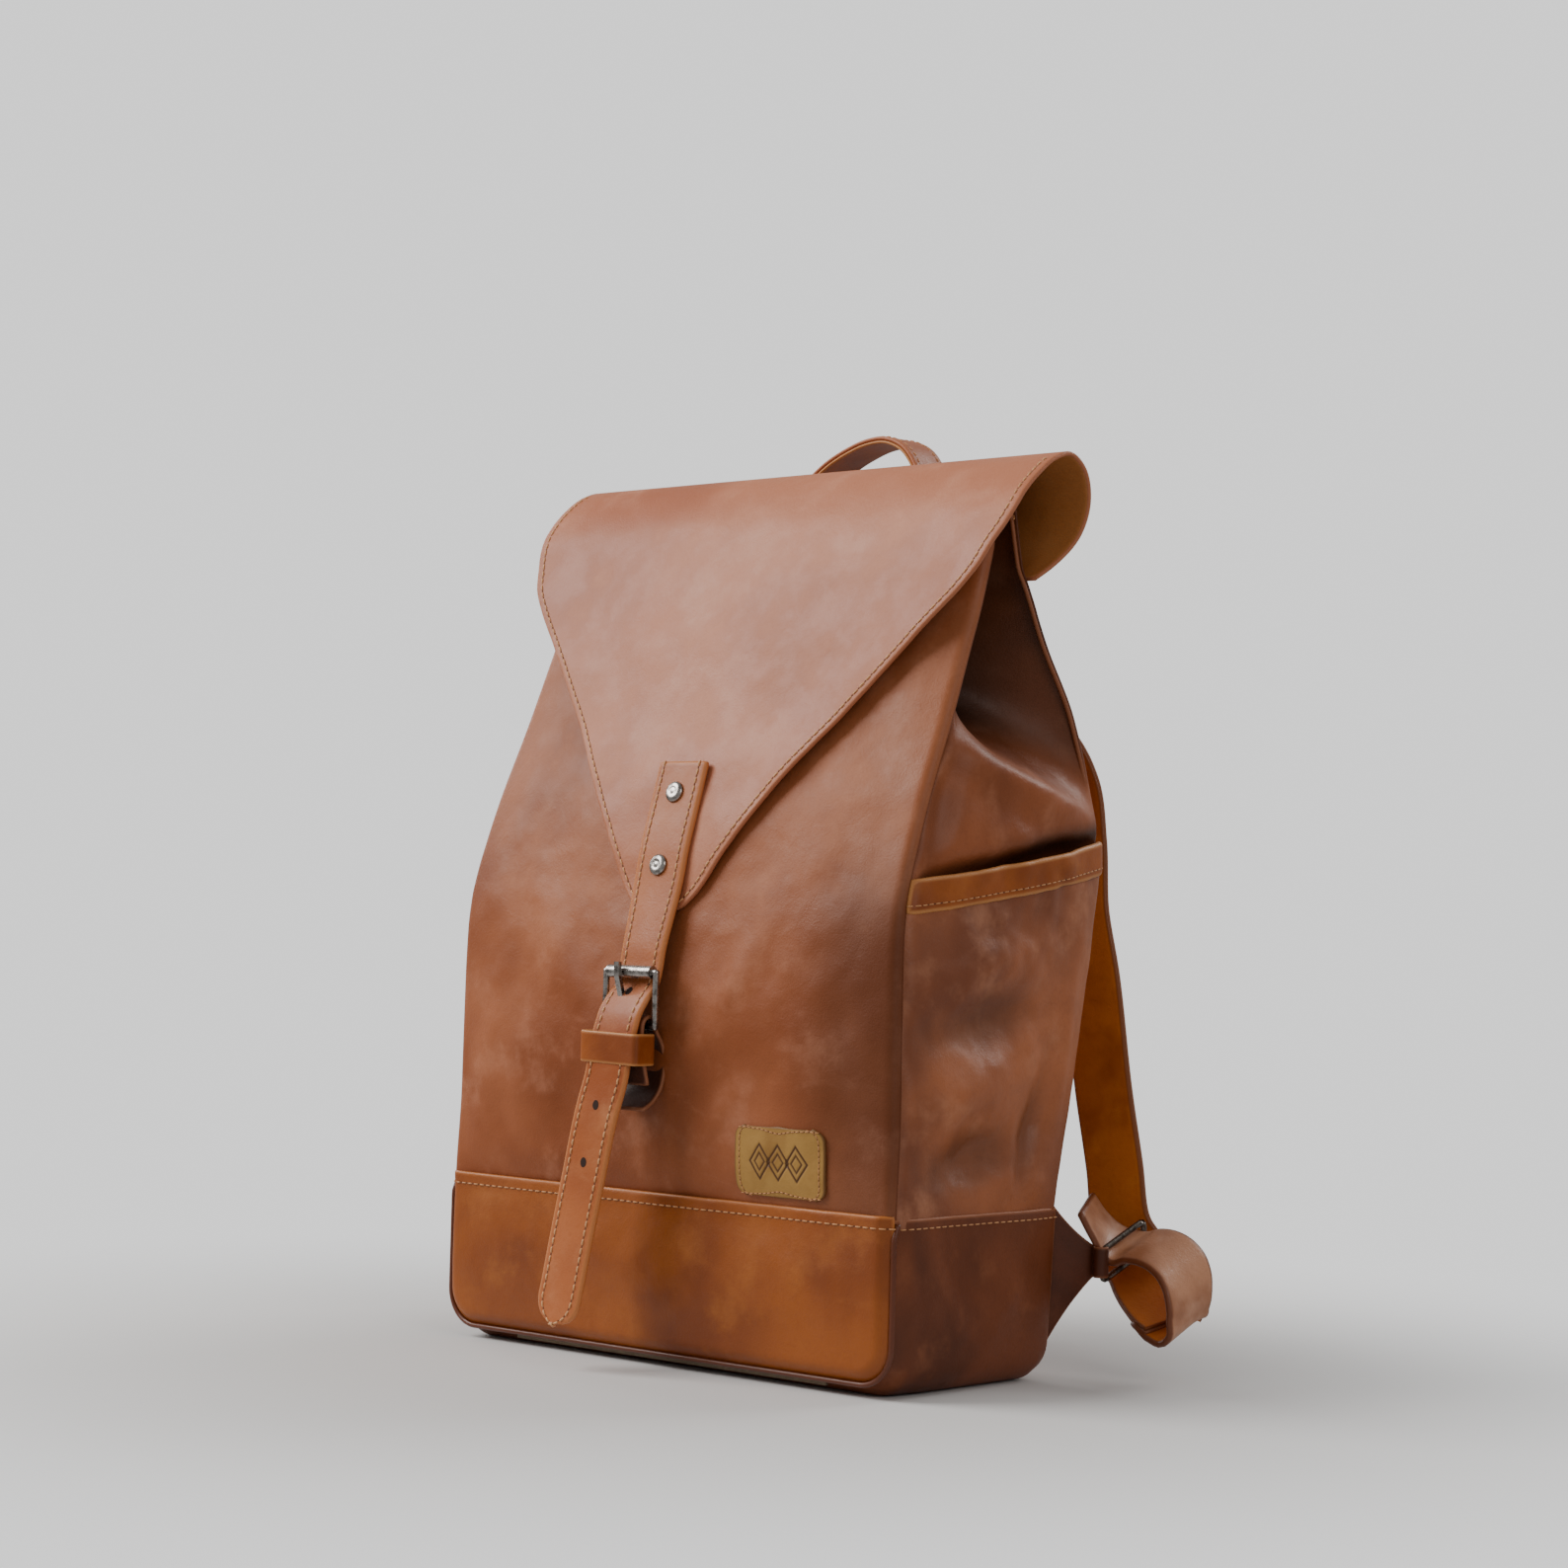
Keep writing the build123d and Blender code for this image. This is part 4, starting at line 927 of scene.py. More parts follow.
# ---- flap ------------------------------------------------------------------------------------
# Side view of the flap from its tip up to the fold line, then of the curl behind it, as (y, z).
FLAP_LINE = [(-63.4, 209.5), (-60.8, 220), (-57, 240), (-51, 260), (-43.5, 280), (-35, 300), (-28, 320),
             (-21, 340), (-12, 360), (-3, 380), (8, 400), (20, 413), (31, 421)]
CURL_LINE = [(44, 424.5), (55, 418), (61, 403), (59, 387), (50, 373), (44, 366.5)]
FLAP_HALF_AT = smooth_line(
    [209.5, 211, 216, 240, 260, 280, 300, 320, 340, 360, 370, 380, 390, 400, 430],
    [1.5, 11, 18.5, 36, 51, 67, 84, 101, 118, 136, 143, 147, 151, FLAP_HALF, FLAP_HALF])


FLAP_BLEND_START, FLAP_BLEND_END = 1.0, 14.0    # the bending leather ahead of the fold line


def flap_sheet():
    """The flap and the curl behind its fold line are one sheet of leather with its lining."""
    line = space_curve([(0, y, z) for y, z in FLAP_LINE + CURL_LINE])
    rows, columns = 170, 120
    stops = np.linspace(0, 1, rows)
    stops = 0.5 * (stops + stops ** 1.6)
    ridge_stop = line.stops[len(FLAP_LINE)]
    grid = np.zeros((rows, columns, 3))
    for i, t in enumerate(stops):
        p = line(t)[0]
        if t < ridge_stop:
            half = float(FLAP_HALF_AT(p[2]))
        else:
            half = FLAP_HALF - 19 * ((t - ridge_stop) / (1 - ridge_stop)) ** 2.6
        for j, share in enumerate(np.linspace(-1, 1, columns)):
            grid[i, j] = (share * half, p[1], p[2])
    x, z = grid[..., 0], grid[..., 2]
    t = stops[:, None] * np.ones((1, columns))
    front = 1 - ease(t, ridge_stop - 0.12, ridge_stop)
    flat = 1.2 * rumple(grid, 90, 12.0) + 0.5 * rumple(grid, 30, 2.7)
    lift = 2.5 * ease(np.abs(x), 96, 150) * bell(z, 385, 40)
    grid[..., 1] -= front * (flat + ridges(x, z, FLAP_DISHES) + lift)
    sheet = Sheet("flap_sheet", grid, 2.2, FLAP, CURL_LINING)
    obj = sheet.object
    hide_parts("flap_leather", "flap_lining", "flap_curl", "flap_curl_lining")
    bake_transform(obj)
    return sheet


# Middle line of the strap's back, from its upper end to its tip.
STRAP_POINTS = [(0, -46, 279), (0, -51.5, 260), (0, -57.5, 240), (0, -61.5, 222), (0, -65.5, 207),
                (0, -69.5, 192), (0, -71, 184), (0, -73, 177.5), (-0.5, -78, 171), (-1.0, -82.5, 164),
                (-1.5, -84.6, 157), (-3, -85.8, 148), (-5, -86.8, 133), (-8, -88, 121), (-14.5, -90.5, 86),
                (-19, -93.5, 55), (-21.8, -96.6, 30), (-23.4, -97.8, 20.5)]
STRAP_HALF_WIDTH = 14.0
BILLET_HALF_WIDTH = 12.2
STRAP_THICKNESS = 3.0


def flap_strap():
    """One strap: sewn and riveted to the flap, then down through the buckle to its rounded tip."""
    line = space_curve([(x, y - STRAP_THICKNESS + 0.4, z) for x, y, z in STRAP_POINTS])
    rows, columns = 190, 21
    grid = np.zeros((rows, columns, 3))
    stops = np.linspace(0, 1, rows)
    length = line.length
    tip = BILLET_HALF_WIDTH
    for i, t in enumerate(stops):
        p = line(t)[0]
        ahead = unit(line(min(1, t + 0.01))[0] - line(max(0, t - 0.01))[0])
        width = unit(np.array([1.0, 0, 0]) - ahead * ahead[0])
        half = BILLET_HALF_WIDTH + (STRAP_HALF_WIDTH - BILLET_HALF_WIDTH) * float(ease(p[2], 188, 232))
        left = length * (1 - t)
        if left < tip:
            half *= math.sqrt(max(0.0, 1 - (1 - left / tip) ** 2)) * 0.97 + 0.03
        grid[i, :, :] = p + np.linspace(-1, 1, columns)[:, None] * width * half
    cup = 0.5 * (np.linspace(-1, 1, columns) ** 2)[None, :]
    grid[..., 1] += cup
    sheet = Sheet("flap_strap_leather", grid[::-1], STRAP_THICKNESS, STRAP, SUEDE)
    finish_piece(sheet.object, "flap", "strap_leather", "flap_strap", "billet")
    return sheet


HOLE_HEIGHTS = (173.0, 147.5, 121.0, 94.5)
HOLE_HALF_WIDTH, HOLE_HALF_HEIGHT = 1.9, 2.3
# Radius and height of a domed rivet with a rolled rim and a small dimple.
RIVET_PROFILE = [(0.0, 2.15), (0.9, 2.1), (1.5, 1.85), (2.1, 2.05), (3.2, 2.1), (4.2, 1.75), (4.9, 1.05),
                 (5.1, 0.4), (4.9, -0.1), (0.0, -0.1)]


def on_middle(sheet, z):
    """Point and normal of the outer face on a strap's middle line, at height z."""
    middle = sheet.grid[:, sheet.grid.shape[1] // 2]
    return sheet.snap(middle[np.argmin(np.abs(middle[:, 2] - z))])


def punched_holes(sheet):
    """Punched holes along the loose end, as flat discs of painted shade for the shade seen through them."""
    points, faces = [], []
    corners = 20
    for z in HOLE_HEIGHTS:
        place, normal = on_middle(sheet, z)
        side = unit(np.cross(normal, UP)) * HOLE_HALF_WIDTH
        up = unit(np.cross(side, normal)) * HOLE_HALF_HEIGHT
        base = len(points)
        points.extend(ring_points(place + normal * 0.06, side, up, corners))
        faces.append(tuple(range(base, base + corners)))
    obj = add_object("billet_holes", points, faces, [PUNCHED_HOLE_SHADE])
    finish_piece(obj, "flap", "strap_leather")


def lathe(name, centre, axis, profile, material, sides=40):
    """A turned piece: profile of (radius, height) along an axis."""
    axis = unit(np.asarray(axis, float))
    side = unit(np.cross(axis, np.array([1.0, 0.2, 0.1])))
    up = np.cross(axis, side)
    points = [ring_points(centre + axis * height, radius * side, radius * up, sides)
              for radius, height in profile]
    return add_object(name, np.vstack(points), ring_faces(len(profile), sides), [material])


def flap_rivets(strap):
    low, high = box_mm("flap_rivets")
    for number, z in enumerate((high[2] - 6.4, low[2] + 5.2)):
        place, normal = on_middle(strap, z)
        piece = lathe("flap_rivet_%d" % number, place, normal, RIVET_PROFILE, NICKEL)
        finish_piece(piece, "flap", "antique_nickel", "flap_rivets")


# ---- buckle leather --------------------------------------------------------------------------
def strip_grid(points, half, columns):
    """A strap's grid along a smooth curve, level across."""
    line = space_curve(points)
    rows = max(12, int(line.length / 1.1))
    across = np.linspace(-half, half, columns)[:, None] * np.array([1.0, 0, 0])
    return line(np.linspace(0, 1, rows))[:, None, :] + across


def chape():
    """Strap end folded round the bar; its back layer is sewn to the panel and curls out below."""
    y, z = BAR[1], BAR[2]
    back = [(0, -80.5, 120.5), (0, -75.5, 123.5), (0, -70.6, 129.5), (0, -68.8, 136), (0, -70.4, 149),
            (0, y + 3.4, z - 1.5), (0, y + 2.6, z + 2.6), (0, y, z + 3.9), (0, y - 2.7, z + 2.6),
            (0, y - 3.7, z - 1.5), (0, -81.2, 150), (0, -79.8, 140), (0, -77.5, 131.5)]
    grid = strip_grid(back, 12.6, 15)
    sheet = Sheet("chape_leather", grid, 1.8, DARK, DARK)
    finish_piece(sheet.object, "bag", "side_leather", "chape")


def keeper_loop():
    low, high = box_mm("keeper")
    x0, x1, y0, y1 = low[0], high[0], low[1], high[1]
    radius = 2.6
    path = []
    corners = [(x1 - radius, y0 + radius, -90), (x1 - radius, y1 - radius, 0),
               (x0 + radius, y1 - radius, 90), (x0 + radius, y0 + radius, 180)]
    for cx, cy, start in corners:
        for step in np.linspace(0, 90, 7):
            angle = math.radians(start + step)
            path.append((cx + radius * math.cos(angle), cy + radius * math.sin(angle)))
    path = np.array([(x, y, 0) for x, y in path])
    path = resample(np.vstack([path, path[:1]]), 1.2)[:-1]
    columns = 11
    grid = np.zeros((len(path), columns, 3))
    for i, p in enumerate(path):
        for j, share in enumerate(np.linspace(0, 1, columns)):
            z = low[2] + share * (high[2] - low[2])
            sag = -0.7 * (p[0] - x0) / (x1 - x0)
            grid[i, j] = (p[0], p[1], z + sag)
    sheet = Sheet("keeper_leather", grid, 1.5, TRIM, SUEDE, closed=True, flip=True)
    finish_piece(sheet.object, "keeper_loop", "strap_leather", "keeper")


# ---- label -----------------------------------------------------------------------------------
def label_patch(panel):
    """Stitched patch with a plain embossed lozenge pattern."""
    low, high = box_mm("label_patch")
    rows, columns = 110, 170
    radius = 5.0
    grid = np.zeros((rows, columns, 3))
    cx, cz = (low[0] + high[0]) / 2, (low[2] + high[2]) / 2
    hx, hz = (high[0] - low[0]) / 2 - 0.5, (high[2] - low[2]) / 2 - 0.5
    for i, v in enumerate(np.linspace(-1, 1, rows)):
        limit = hx
        if abs(v) * hz > hz - radius:
            limit = hx - radius + math.sqrt(max(0.0, radius ** 2 - (abs(v) * hz - hz + radius) ** 2))
        for j, u in enumerate(np.linspace(-1, 1, columns)):
            x = cx + u * limit
            z = cz + v * hz
            place = panel.snap((x, low[1], z))[0]
            relief = emboss((x - cx) / hx, (z - cz) / hz)
            grid[i, j] = (x, place[1] - 1.5 - relief, z)
    sheet = Sheet("label_patch_leather", grid, 1.6, LABEL, SUEDE)
    u = (grid[..., 0] - cx) / hx
    v = (grid[..., 2] - cz) / hz
    add_tone(sheet, "burnt", -2.6 * np.vectorize(emboss)(u, v))
    finish_piece(sheet.object, "bag", "label_leather", "label_patch")
    return sheet


def emboss(u, v):
    """Relief in mm of nested lozenges between two lines; u and v run from -1 to 1."""
    inside = 1.0 if abs(u) < 0.80 and abs(v) < 0.72 else 0.0
    height = 0.0
    for centre in (-0.42, 0.0, 0.42):
        d = abs(u - centre) / 0.26 + abs(v) / 0.56
        height -= 0.35 * math.exp(-((d - 0.9) / 0.12) ** 2) * inside
        height -= 0.30 * math.exp(-((d - 0.45) / 0.12) ** 2) * inside
    return height


# ---- handle and straps -----------------------------------------------------------------------
# Middle line of the handle from foot to foot, and the direction across it at each point.
HANDLE_POINTS = [(-50, 51.6, 356), (-50, 57.5, 366), (-49, 69, 384), (-46, 77, 404), (-38, 79.5, 421),
                 (-24, 80, 433), (-8, 80, 440.5), (6, 80, 444.4), (18, 80, 444.8), (30, 80, 440),
                 (40, 79.5, 428), (46, 77, 408), (49, 69, 386), (50, 57.5, 366), (50, 51.6, 356)]
HANDLE_WIDTHS = [(1, 0, 0), (1, -0.1, 0), (0.8, -0.6, 0), (0.2, -1, 0), (0, -1, 0), (0, -1, 0), (0, -1, 0),
                 (0, -1, 0), (0, -1, 0), (0, -1, 0), (0, -1, 0), (-0.2, -1, 0), (-0.8, -0.6, 0),
                 (-1, -0.1, 0), (-1, 0, 0)]


def ribbon_grid(points, widths, half, columns, pitch=2.0):
    """A strap's grid with a width direction that turns along it."""
    line = space_curve(points)
    rows = int(line.length / pitch)
    widths = unit(np.asarray(widths, float))
    channels = [smooth_line(line.stops, widths[:, k]) for k in range(3)]
    grid = np.zeros((rows, columns, 3))
    across = np.linspace(-1, 1, columns)[:, None]
    for i, t in enumerate(np.linspace(0, 1, rows)):
        ahead = unit(line(min(1, t + 0.004))[0] - line(max(0, t - 0.004))[0])
        width = np.array([float(c(t)) for c in channels])
        width = unit(width - ahead * np.dot(width, ahead))
        grid[i] = line(t)[0] + across * width * half
    return grid


def handle():
    grid = ribbon_grid(HANDLE_POINTS, HANDLE_WIDTHS, 10.6, 13)
    outer = Sheet("handle_top_leather", grid, 2.0, FLAP, SUEDE)
    inner_grid = outer.grid - outer.normals * 2.05
    inner = Sheet("handle_under_leather", inner_grid, 1.5, TRIM, TRIM)
    for sheet, node, slot in ((outer, "handle_leather", "flap_leather"),
                              (inner, "handle_lining", "strap_leather")):
        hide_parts(node)
        blend_handle(sheet.object)
    return outer


def blend_handle(obj):
    """Bake the handle piece's placement into its mesh."""
    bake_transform(obj)


# Middle line of the right shoulder strap from the yoke down to the loop, and the direction across.
SHOULDER_POINTS = [(40, 54.5, 348), (43, 74, 345), (56, 106, 329), (77, 127, 302), (91, 131, 276),
                   (99, 127.5, 248), (107, 120.5, 212), (118, 116, 180), (127, 115.5, 129), (133, 117, 95),
                   (138, 117.5, 66), (144.5, 117, 54.5), (151, 114.4, 46), (158.4, 109.3, 39.4),
                   (167.2, 103.9, 34.2), (175.5, 99.4, 30.3), (184, 96, 27.4)]
SHOULDER_WIDTHS = [(1, 0, 0), (1, 0, -0.1), (1, 0, -0.3), (1, 0, -0.3), (1, 0, -0.2), (1, 0, -0.1),
                   (1, 0, 0), (1, 0, 0), (1, 0, 0), (1, 0, 0), (1, 0.05, 0), (0.93, 0.34, 0.1),
                   (0.75, 0.62, 0.22), (0.5, 0.8, 0.3), (0.3, 0.88, 0.36), (0.12, 0.92, 0.39),
                   (0, 0.92, 0.39)]
# The lower strap from the shoulder strap round the loop to its tail, and the direction across.
LOOP_POINTS = [(174.1, 99.4, 28.6), (182.5, 96.4, 24.8), (188.6, 95, 24.2), (192.4, 94.3, 27),
               (194, 94, 33.5), (194, 94, 41), (192.4, 94, 48), (188.6, 94, 54.6), (182, 94, 59.8),
               (174.5, 94, 62.4), (166, 94, 62.8), (157, 93.8, 61), (151, 91.5, 64), (146.6, 87.5, 71),
               (143, 83.5, 79.5)]
LOOP_WIDTHS = [(-0.1, -0.92, -0.39)] + [(0, -0.92, -0.39)] * 10 + [
    (0.1, -0.92, -0.38), (0.3, -0.88, -0.32), (0.42, -0.86, -0.28), (0.46, -0.86, -0.26)]


def mirrored(points, side):
    return [(side * p[0], p[1], p[2]) for p in points]


def shoulder_strap(side):
    """Leather strap with its lining toward the bag: bowed behind the back, folding into the loop."""
    tag = TAG[side]
    widths = SHOULDER_WIDTHS if side > 0 else [(w[0], -w[1], -w[2]) for w in SHOULDER_WIDTHS]
    grid = ribbon_grid(mirrored(SHOULDER_POINTS, side), widths, 15.2, 17, 2.0)
    leather_side = Sheet("shoulder_leather_" + tag, grid, 2.0, DARK, DARK)
    under = leather_side.grid - leather_side.normals * 3.6
    lining_side = Sheet("shoulder_lining_" + tag, under, 1.55, LINING_LEATHER, LINING_LEATHER, flip=True)
    for sheet, node, slot in ((leather_side, "shoulder_strap_", "side_leather"),
                              (lining_side, "shoulder_strap_lining_", "strap_lining")):
        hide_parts(node + tag)
        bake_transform(sheet.object)


def lower_loop(side):
    """Slack of the adjusting strap: a loop, then through the ring to its loose tail."""
    tag = TAG[side]
    widths = [(side * w[0], w[1], w[2]) for w in LOOP_WIDTHS]
    grid = ribbon_grid(mirrored(LOOP_POINTS, side), widths, 14.9, 15, 1.5)
    if side < 0:
        grid = grid[:, ::-1]
    outer = Sheet("lower_strap_leather_" + tag, grid, 3.2, LOOP_SIDE, LOOP_LINING, flip=True)
    finish_piece(outer.object, "ring_" + tag, "side_leather", "lower_strap_" + tag)


RING_WIRE, RING_CORNER = 1.5, 3.5    # radius of the wire and of the bend at each corner


def side_ring(side):
    """Rounded wire ring, tilted as the strap that passes through it."""
    tag = TAG[side]
    near, far = RING[1] + 1.5, RING[1] + 32.5
    corners = [(near, 45.0), (far, 57.0), (far, 71.5), (near, 59.5)]
    path = []
    for i in range(4):
        before, here, after = (np.array(corners[k % 4]) for k in (i - 1, i, i + 1))
        start = here + unit(before - here) * RING_CORNER
        end = here + unit(after - here) * RING_CORNER
        for t in np.linspace(0, 1, 7):
            y, z = start * (1 - t) ** 2 + here * 2 * t * (1 - t) + end * t * t
            path.append((side * RING[0], y, z))
    path = resample(np.vstack([path, path[:1]]), 1.2)[:-1]
    # The ring's metal is the antique nickel darkened as painted shade.
    obj = tube("ring_wire_" + tag, path, RING_WIRE, SHADED_NICKEL, 14, closed=True)
    finish_piece(obj, "ring_" + tag, "antique_nickel", "side_ring_" + tag)


TAB_LOW, TAB_HIGH = 47.5, 60.5       # of the tab's fold round the ring
TAB_FOLD_RADIUS = 3.6


def strap_tab(side):
    """Leather triangle from the back seam to the ring."""
    tag = TAG[side]
    rows, columns = 40, 24
    grid = np.zeros((rows, columns, 3))
    for i, v in enumerate(np.linspace(0, 1, rows)):
        heel = np.array([136.5, 55.0, 11 + 76 * v])
        toe = np.array([150.8, 76.5, TAB_LOW + (TAB_HIGH - TAB_LOW) * v])
        for j, u in enumerate(np.linspace(0, 1, columns)):
            bow = np.array([1.6, 0.4, 0]) * math.sin(math.pi * u) * math.sin(math.pi * v)
            grid[i, j] = heel + (toe - heel) * u + bow
            grid[i, j, 2] -= 4.5 * (v - 0.5) * math.sin(math.pi * u)
    grid[..., 0] *= side
    sheet = Sheet("strap_tab_leather_" + tag, grid, 2.4, DARK, DARK, flip=side < 0)
    finish_piece(sheet.object, "bag", "side_leather", "strap_tab_" + tag)
    half_axes = TAB_FOLD_RADIUS * np.eye(3)
    loop = ring_points(RING * [1, 1, 0], half_axes[0], half_axes[1], 28)
    turns = loop[:, None, :] + np.linspace(TAB_LOW, TAB_HIGH, 8)[:, None] * UP
    turns[..., 0] *= side
    fold = Sheet("strap_tab_fold_" + tag, turns, 1.2, DARK, DARK, closed=True, flip=side > 0)
    finish_piece(fold.object, "bag", "side_leather", "strap_tab_" + tag)


def strap_yoke():
    """Patch on the upper back that holds the handle and the shoulder straps."""
    rows, columns = 26, 80
    grid = np.zeros((rows, columns, 3))
    low, high, corner = 332.0, 363.0, 8.0
    for i, z in enumerate(np.linspace(low, high, rows)):
        half = 66.0
        edge = min(z - low, high - z)
        if edge < corner:
            half -= corner - math.sqrt(max(0.0, corner ** 2 - (corner - edge) ** 2))
        for j, share in enumerate(np.linspace(1, -1, columns)):
            grid[i, j] = (share * half, float(BACK_Y(z)) + 5.4, z)
    sheet = Sheet("strap_yoke_leather", grid, 2.6, DARK, DARK)
    finish_piece(sheet.object, "bag", "side_leather", "strap_yoke")
    return sheet


# ---- lining ----------------------------------------------------------------------------------
LINING_LOW, LINING_TOP = 13.0, 362.0


def lining_bag():
    """Sewn cloth bag inside the leather, open at the top."""
    rows, around = 60, 120
    corner = 5.0
    grid = np.zeros((rows, around, 3))
    for i, z in enumerate(np.linspace(LINING_LOW, LINING_TOP, rows)):
        front = float(FRONT_Y(z)) + 6 - 0.3 * float(BULGE(z))
        back = float(BACK_Y(z)) - 10.5
        half = float(HALF(z)) - 10 - (float(gusset_depth(z)) + 6)
        shares = np.linspace(-1, 1, around // 4, endpoint=False)
        flat = shares * (half - corner)
        deep = front + corner + (shares + 1) / 2 * (back - front - 2 * corner)
        last = back + front - deep
        ring = [(x, front) for x in flat] + [(half, y) for y in deep]
        ring += [(-x, back) for x in flat] + [(-half, y) for y in last]
        for j, (x, y) in enumerate(ring):
            grid[i, j] = (x, y, z)
    turned = np.transpose(grid, (1, 0, 2))
    sheet = Sheet("lining_bag", turned, 0.8, CLOTH, CLOTH, closed=True, flip=True)
    finish_piece(sheet.object, "bag", "lining_cloth", "lining_front", "lining_back", "lining_side_r",
                 "lining_side_l")
    x, y = np.meshgrid(np.linspace(-129, 129, 50), np.linspace(-50, 43, 30))
    floor = np.stack([x, y, np.full_like(x, LINING_LOW + 0.2)], axis=-1)
    base = Sheet("lining_floor", floor, 0.8, CLOTH, CLOTH)
    finish_piece(base.object, "bag", "lining_cloth", "lining_base")
    low, high = box_mm("inner_pocket")
    x, z = np.meshgrid(np.linspace(low[0], high[0], 40), np.linspace(low[2], high[2], 30))
    across, rise = np.meshgrid(np.linspace(0, 1, 40), np.linspace(0, 1, 30))
    slack = 2.0 * np.sin(math.pi * across) * rise
    front = np.stack([x, low[1] - slack + 0.5, z], axis=-1)
    pocket = Sheet("inner_pocket_cloth", front, 0.9, CLOTH, CLOTH)
    finish_piece(pocket.object, "bag", "lining_cloth", "inner_pocket")


# ---- build -----------------------------------------------------------------------------------
front = front_panel()
band = base_front()
piping()
gusset = base_gusset()
back = back_panel()
for side in TAG:
    side_gusset(side)
pockets = {side: side_pocket(side) for side in TAG}
label = label_patch(front)
flap = flap_sheet()
strap = flap_strap()
punched_holes(strap)
flap_rivets(strap)
chape()
keeper_loop()
top_handle = handle()
for piece in (shoulder_strap, lower_loop, side_ring, strap_tab):
    for side in TAG:
        piece(side)
yoke = strap_yoke()
lining_bag()

# Rows of stitches: how far in from the edge, then the pitch, length and radius of a stitch.
BAND_ROW = (4.5, 4.4, 3.2, 0.38)
POCKET_ROW = (2.2, 4.0, 2.9, 0.32)
GUSSET_ROW = (3.5, 4.4, 3.2, 0.34)
LABEL_ROW = (2.4, 2.6, 1.9, 0.26)
YOKE_ROW = (3.4, 4.0, 2.9, 0.34)
BACK_ROW = (12.0, 5.0, 3.6, 0.40)
STRAP_ROW = (2.8, 4.2, 3.0, 0.46)
HANDLE_ROW = (2.6, 4.0, 2.9, 0.34)
FLAP_INSET, FLAP_STITCH = 3.2, (4.4, 3.3, 0.46)

on_bag = Stitching()
on_bag.add_edge(band, "last", *BAND_ROW)
for side in TAG:
    on_bag.add_edge(pockets[side], "first", *POCKET_ROW)
    on_bag.add_edge(gusset, "first" if side < 0 else "last", *GUSSET_ROW)
for edge in ("first", "last", "left", "right"):
    on_bag.add_edge(label, edge, *LABEL_ROW)
    on_bag.add_edge(yoke, edge, *YOKE_ROW)
    on_bag.add_edge(back, edge, *BACK_ROW)
on_bag.build("stitches_bag", "bag", THREAD)

on_flap = Stitching()
on_strap = Stitching()
on_handle = Stitching()
for edge in ("left", "right"):
    path = flap.edge_path(edge, FLAP_INSET)
    on_flap.add(flap, path[path[:, 1] < RIDGE[1] - FLAP_BLEND_END], *FLAP_STITCH)
    on_strap.add_edge(strap, edge, *STRAP_ROW)
    on_handle.add_edge(top_handle, edge, *HANDLE_ROW)
on_flap.build("stitches_flap", "flap", PALE_THREAD)
on_strap.build("stitches_strap", "flap", PALE_THREAD)
on_handle.build("stitches_handle", "handle", THREAD)

# CAD pieces whose shape is right keep it and get a finish.
for name, material in (("buckle_frame", NICKEL), ("buckle_roller", NICKEL), ("buckle_prong", NICKEL),
                       ("flap_rivet_backs", NICKEL), ("back_foam", FOAM), ("base_board", BOARD)):
    node = frame["nodes"][name]
    node.data.materials.clear()
    node.data.materials.append(material)
    for polygon in node.data.polygons:
        polygon.material_index = 0


# ---- floor, light and camera -----------------------------------------------------------------
FLOOR_COLOUR = (0.62, 0.62, 0.62, 1)
AMBIENT = 0.36           # strength of the room's light
BACKDROP = 1.2           # brightness of the room as the camera sees it
LIT_POINT = Vector((0, 0, 0.2))
# Name, place, width, power and colour.
LIGHTS = [("key", (-1.9, -1.7, 2.2), 2.0, 118.0, (1.0, 0.97, 0.94)),
          ("side", (2.6, -0.7, 1.5), 1.4, 17.0, (1.0, 0.95, 0.91)),
          ("rim", (0.6, 2.4, 2.0), 1.4, 30.0, (1.0, 0.98, 0.96)),
          ("left", (-2.6, 0.6, 1.2), 1.2, 16.0, (1.0, 0.98, 0.96))]


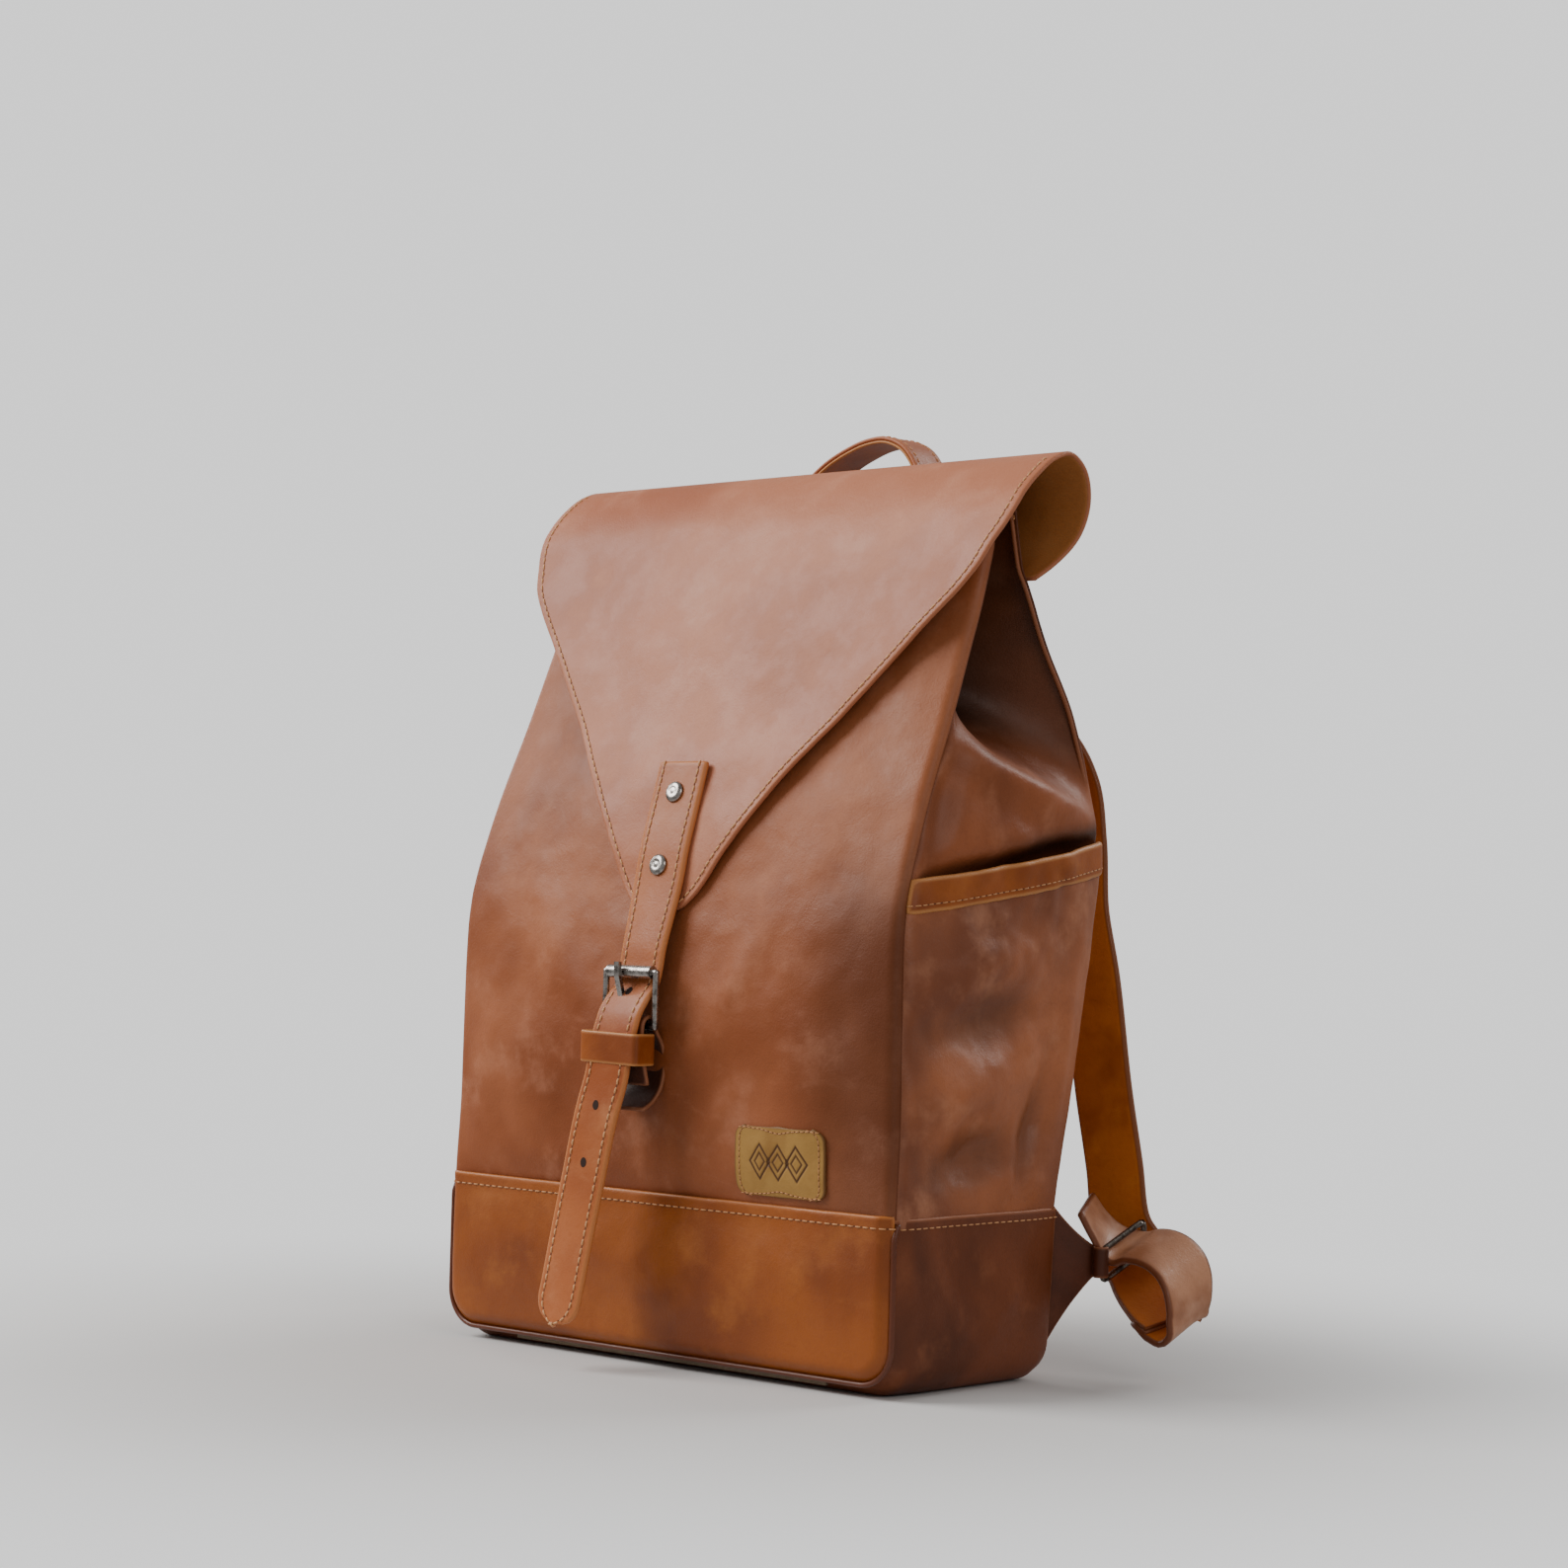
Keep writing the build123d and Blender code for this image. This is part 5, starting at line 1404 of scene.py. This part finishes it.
def studio():
    """Pale floor that fades into an even pale room, and soft lights from the front left and above."""
    scene = bpy.context.scene
    rings, sides, reach = 24, 72, 1.6
    points = [np.zeros((1, 3))]
    for r in range(1, rings + 1):
        radius = reach * (r / rings) ** 1.5 / MM
        points.append(ring_points(np.zeros(3), np.array([radius, 0, 0]), np.array([0, radius, 0]), sides))
    faces = [(0, 1 + k, 1 + (k + 1) % sides) for k in range(sides)]
    faces += [face[::-1] for face in ring_faces(rings, sides, 1)]
    n = Nodes("floor_paint")
    n.shader.inputs["Base Color"].default_value = FLOOR_COLOUR
    n.surface(Roughness=0.95)
    distance = n.tree.nodes.new("ShaderNodeVectorMath")
    distance.operation = "LENGTH"
    n.link(n.coordinates, distance.inputs[0])
    clear = n.tree.nodes.new("ShaderNodeBsdfTransparent")
    blend = n.tree.nodes.new("ShaderNodeMixShader")
    n.link(n.remap(distance.outputs["Value"], 0.16, 0.62), blend.inputs["Fac"])
    n.link(n.shader.outputs["BSDF"], blend.inputs[1])
    n.link(clear.outputs["BSDF"], blend.inputs[2])
    n.link(blend.outputs["Shader"], n.tree.nodes["Material Output"].inputs["Surface"])
    floor = add_object("floor", np.vstack(points), faces, [n.material], smooth=False)
    world = bpy.data.worlds.new("room")
    world.use_nodes = True
    tree = world.node_tree
    soft = tree.nodes["Background"]
    soft.inputs["Color"].default_value = (1.0, 0.97, 0.94, 1)
    soft.inputs["Strength"].default_value = AMBIENT
    seen = tree.nodes.new("ShaderNodeBackground")
    seen.inputs["Color"].default_value = (1, 1, 1, 1)
    seen.inputs["Strength"].default_value = BACKDROP
    path = tree.nodes.new("ShaderNodeLightPath")
    either = tree.nodes.new("ShaderNodeMixShader")
    tree.links.new(path.outputs["Is Camera Ray"], either.inputs["Fac"])
    tree.links.new(soft.outputs["Background"], either.inputs[1])
    tree.links.new(seen.outputs["Background"], either.inputs[2])
    tree.links.new(either.outputs["Shader"], tree.nodes["World Output"].inputs["Surface"])
    scene.world = world
    for name, place, size, power, colour in LIGHTS:
        light = bpy.data.lights.new(name, "AREA")
        light.energy = power
        light.size = size
        light.color = colour
        obj = bpy.data.objects.new(name, light)
        obj.location = place
        obj.rotation_euler = (LIT_POINT - Vector(place)).to_track_quat("-Z", "Y").to_euler()
        scene.collection.objects.link(obj)


CAMERA_PLACE = Vector((1.0904, -1.1664, 0.2158))
CAMERA_LOOK = Vector((-0.67559, 0.73644, 0.03507))
CAMERA_ROLL = 1.48       # degrees
LENS, SENSOR = 77.0, 36.0


def camera():
    """A long lens at the height of the bag's middle, a little rolled."""
    data = bpy.data.cameras.new("view")
    data.lens = LENS
    data.sensor_width = SENSOR
    obj = bpy.data.objects.new("view", data)
    obj.location = CAMERA_PLACE
    turn = CAMERA_LOOK.to_track_quat("-Z", "Y").to_matrix()
    roll = math.radians(CAMERA_ROLL)
    right, up = turn.col[0].copy(), turn.col[1].copy()
    turn.col[0] = right * math.cos(roll) + up * math.sin(roll)
    turn.col[1] = up * math.cos(roll) - right * math.sin(roll)
    obj.rotation_euler = turn.to_euler()
    bpy.context.scene.collection.objects.link(obj)
    bpy.context.scene.camera = obj


studio()
camera()
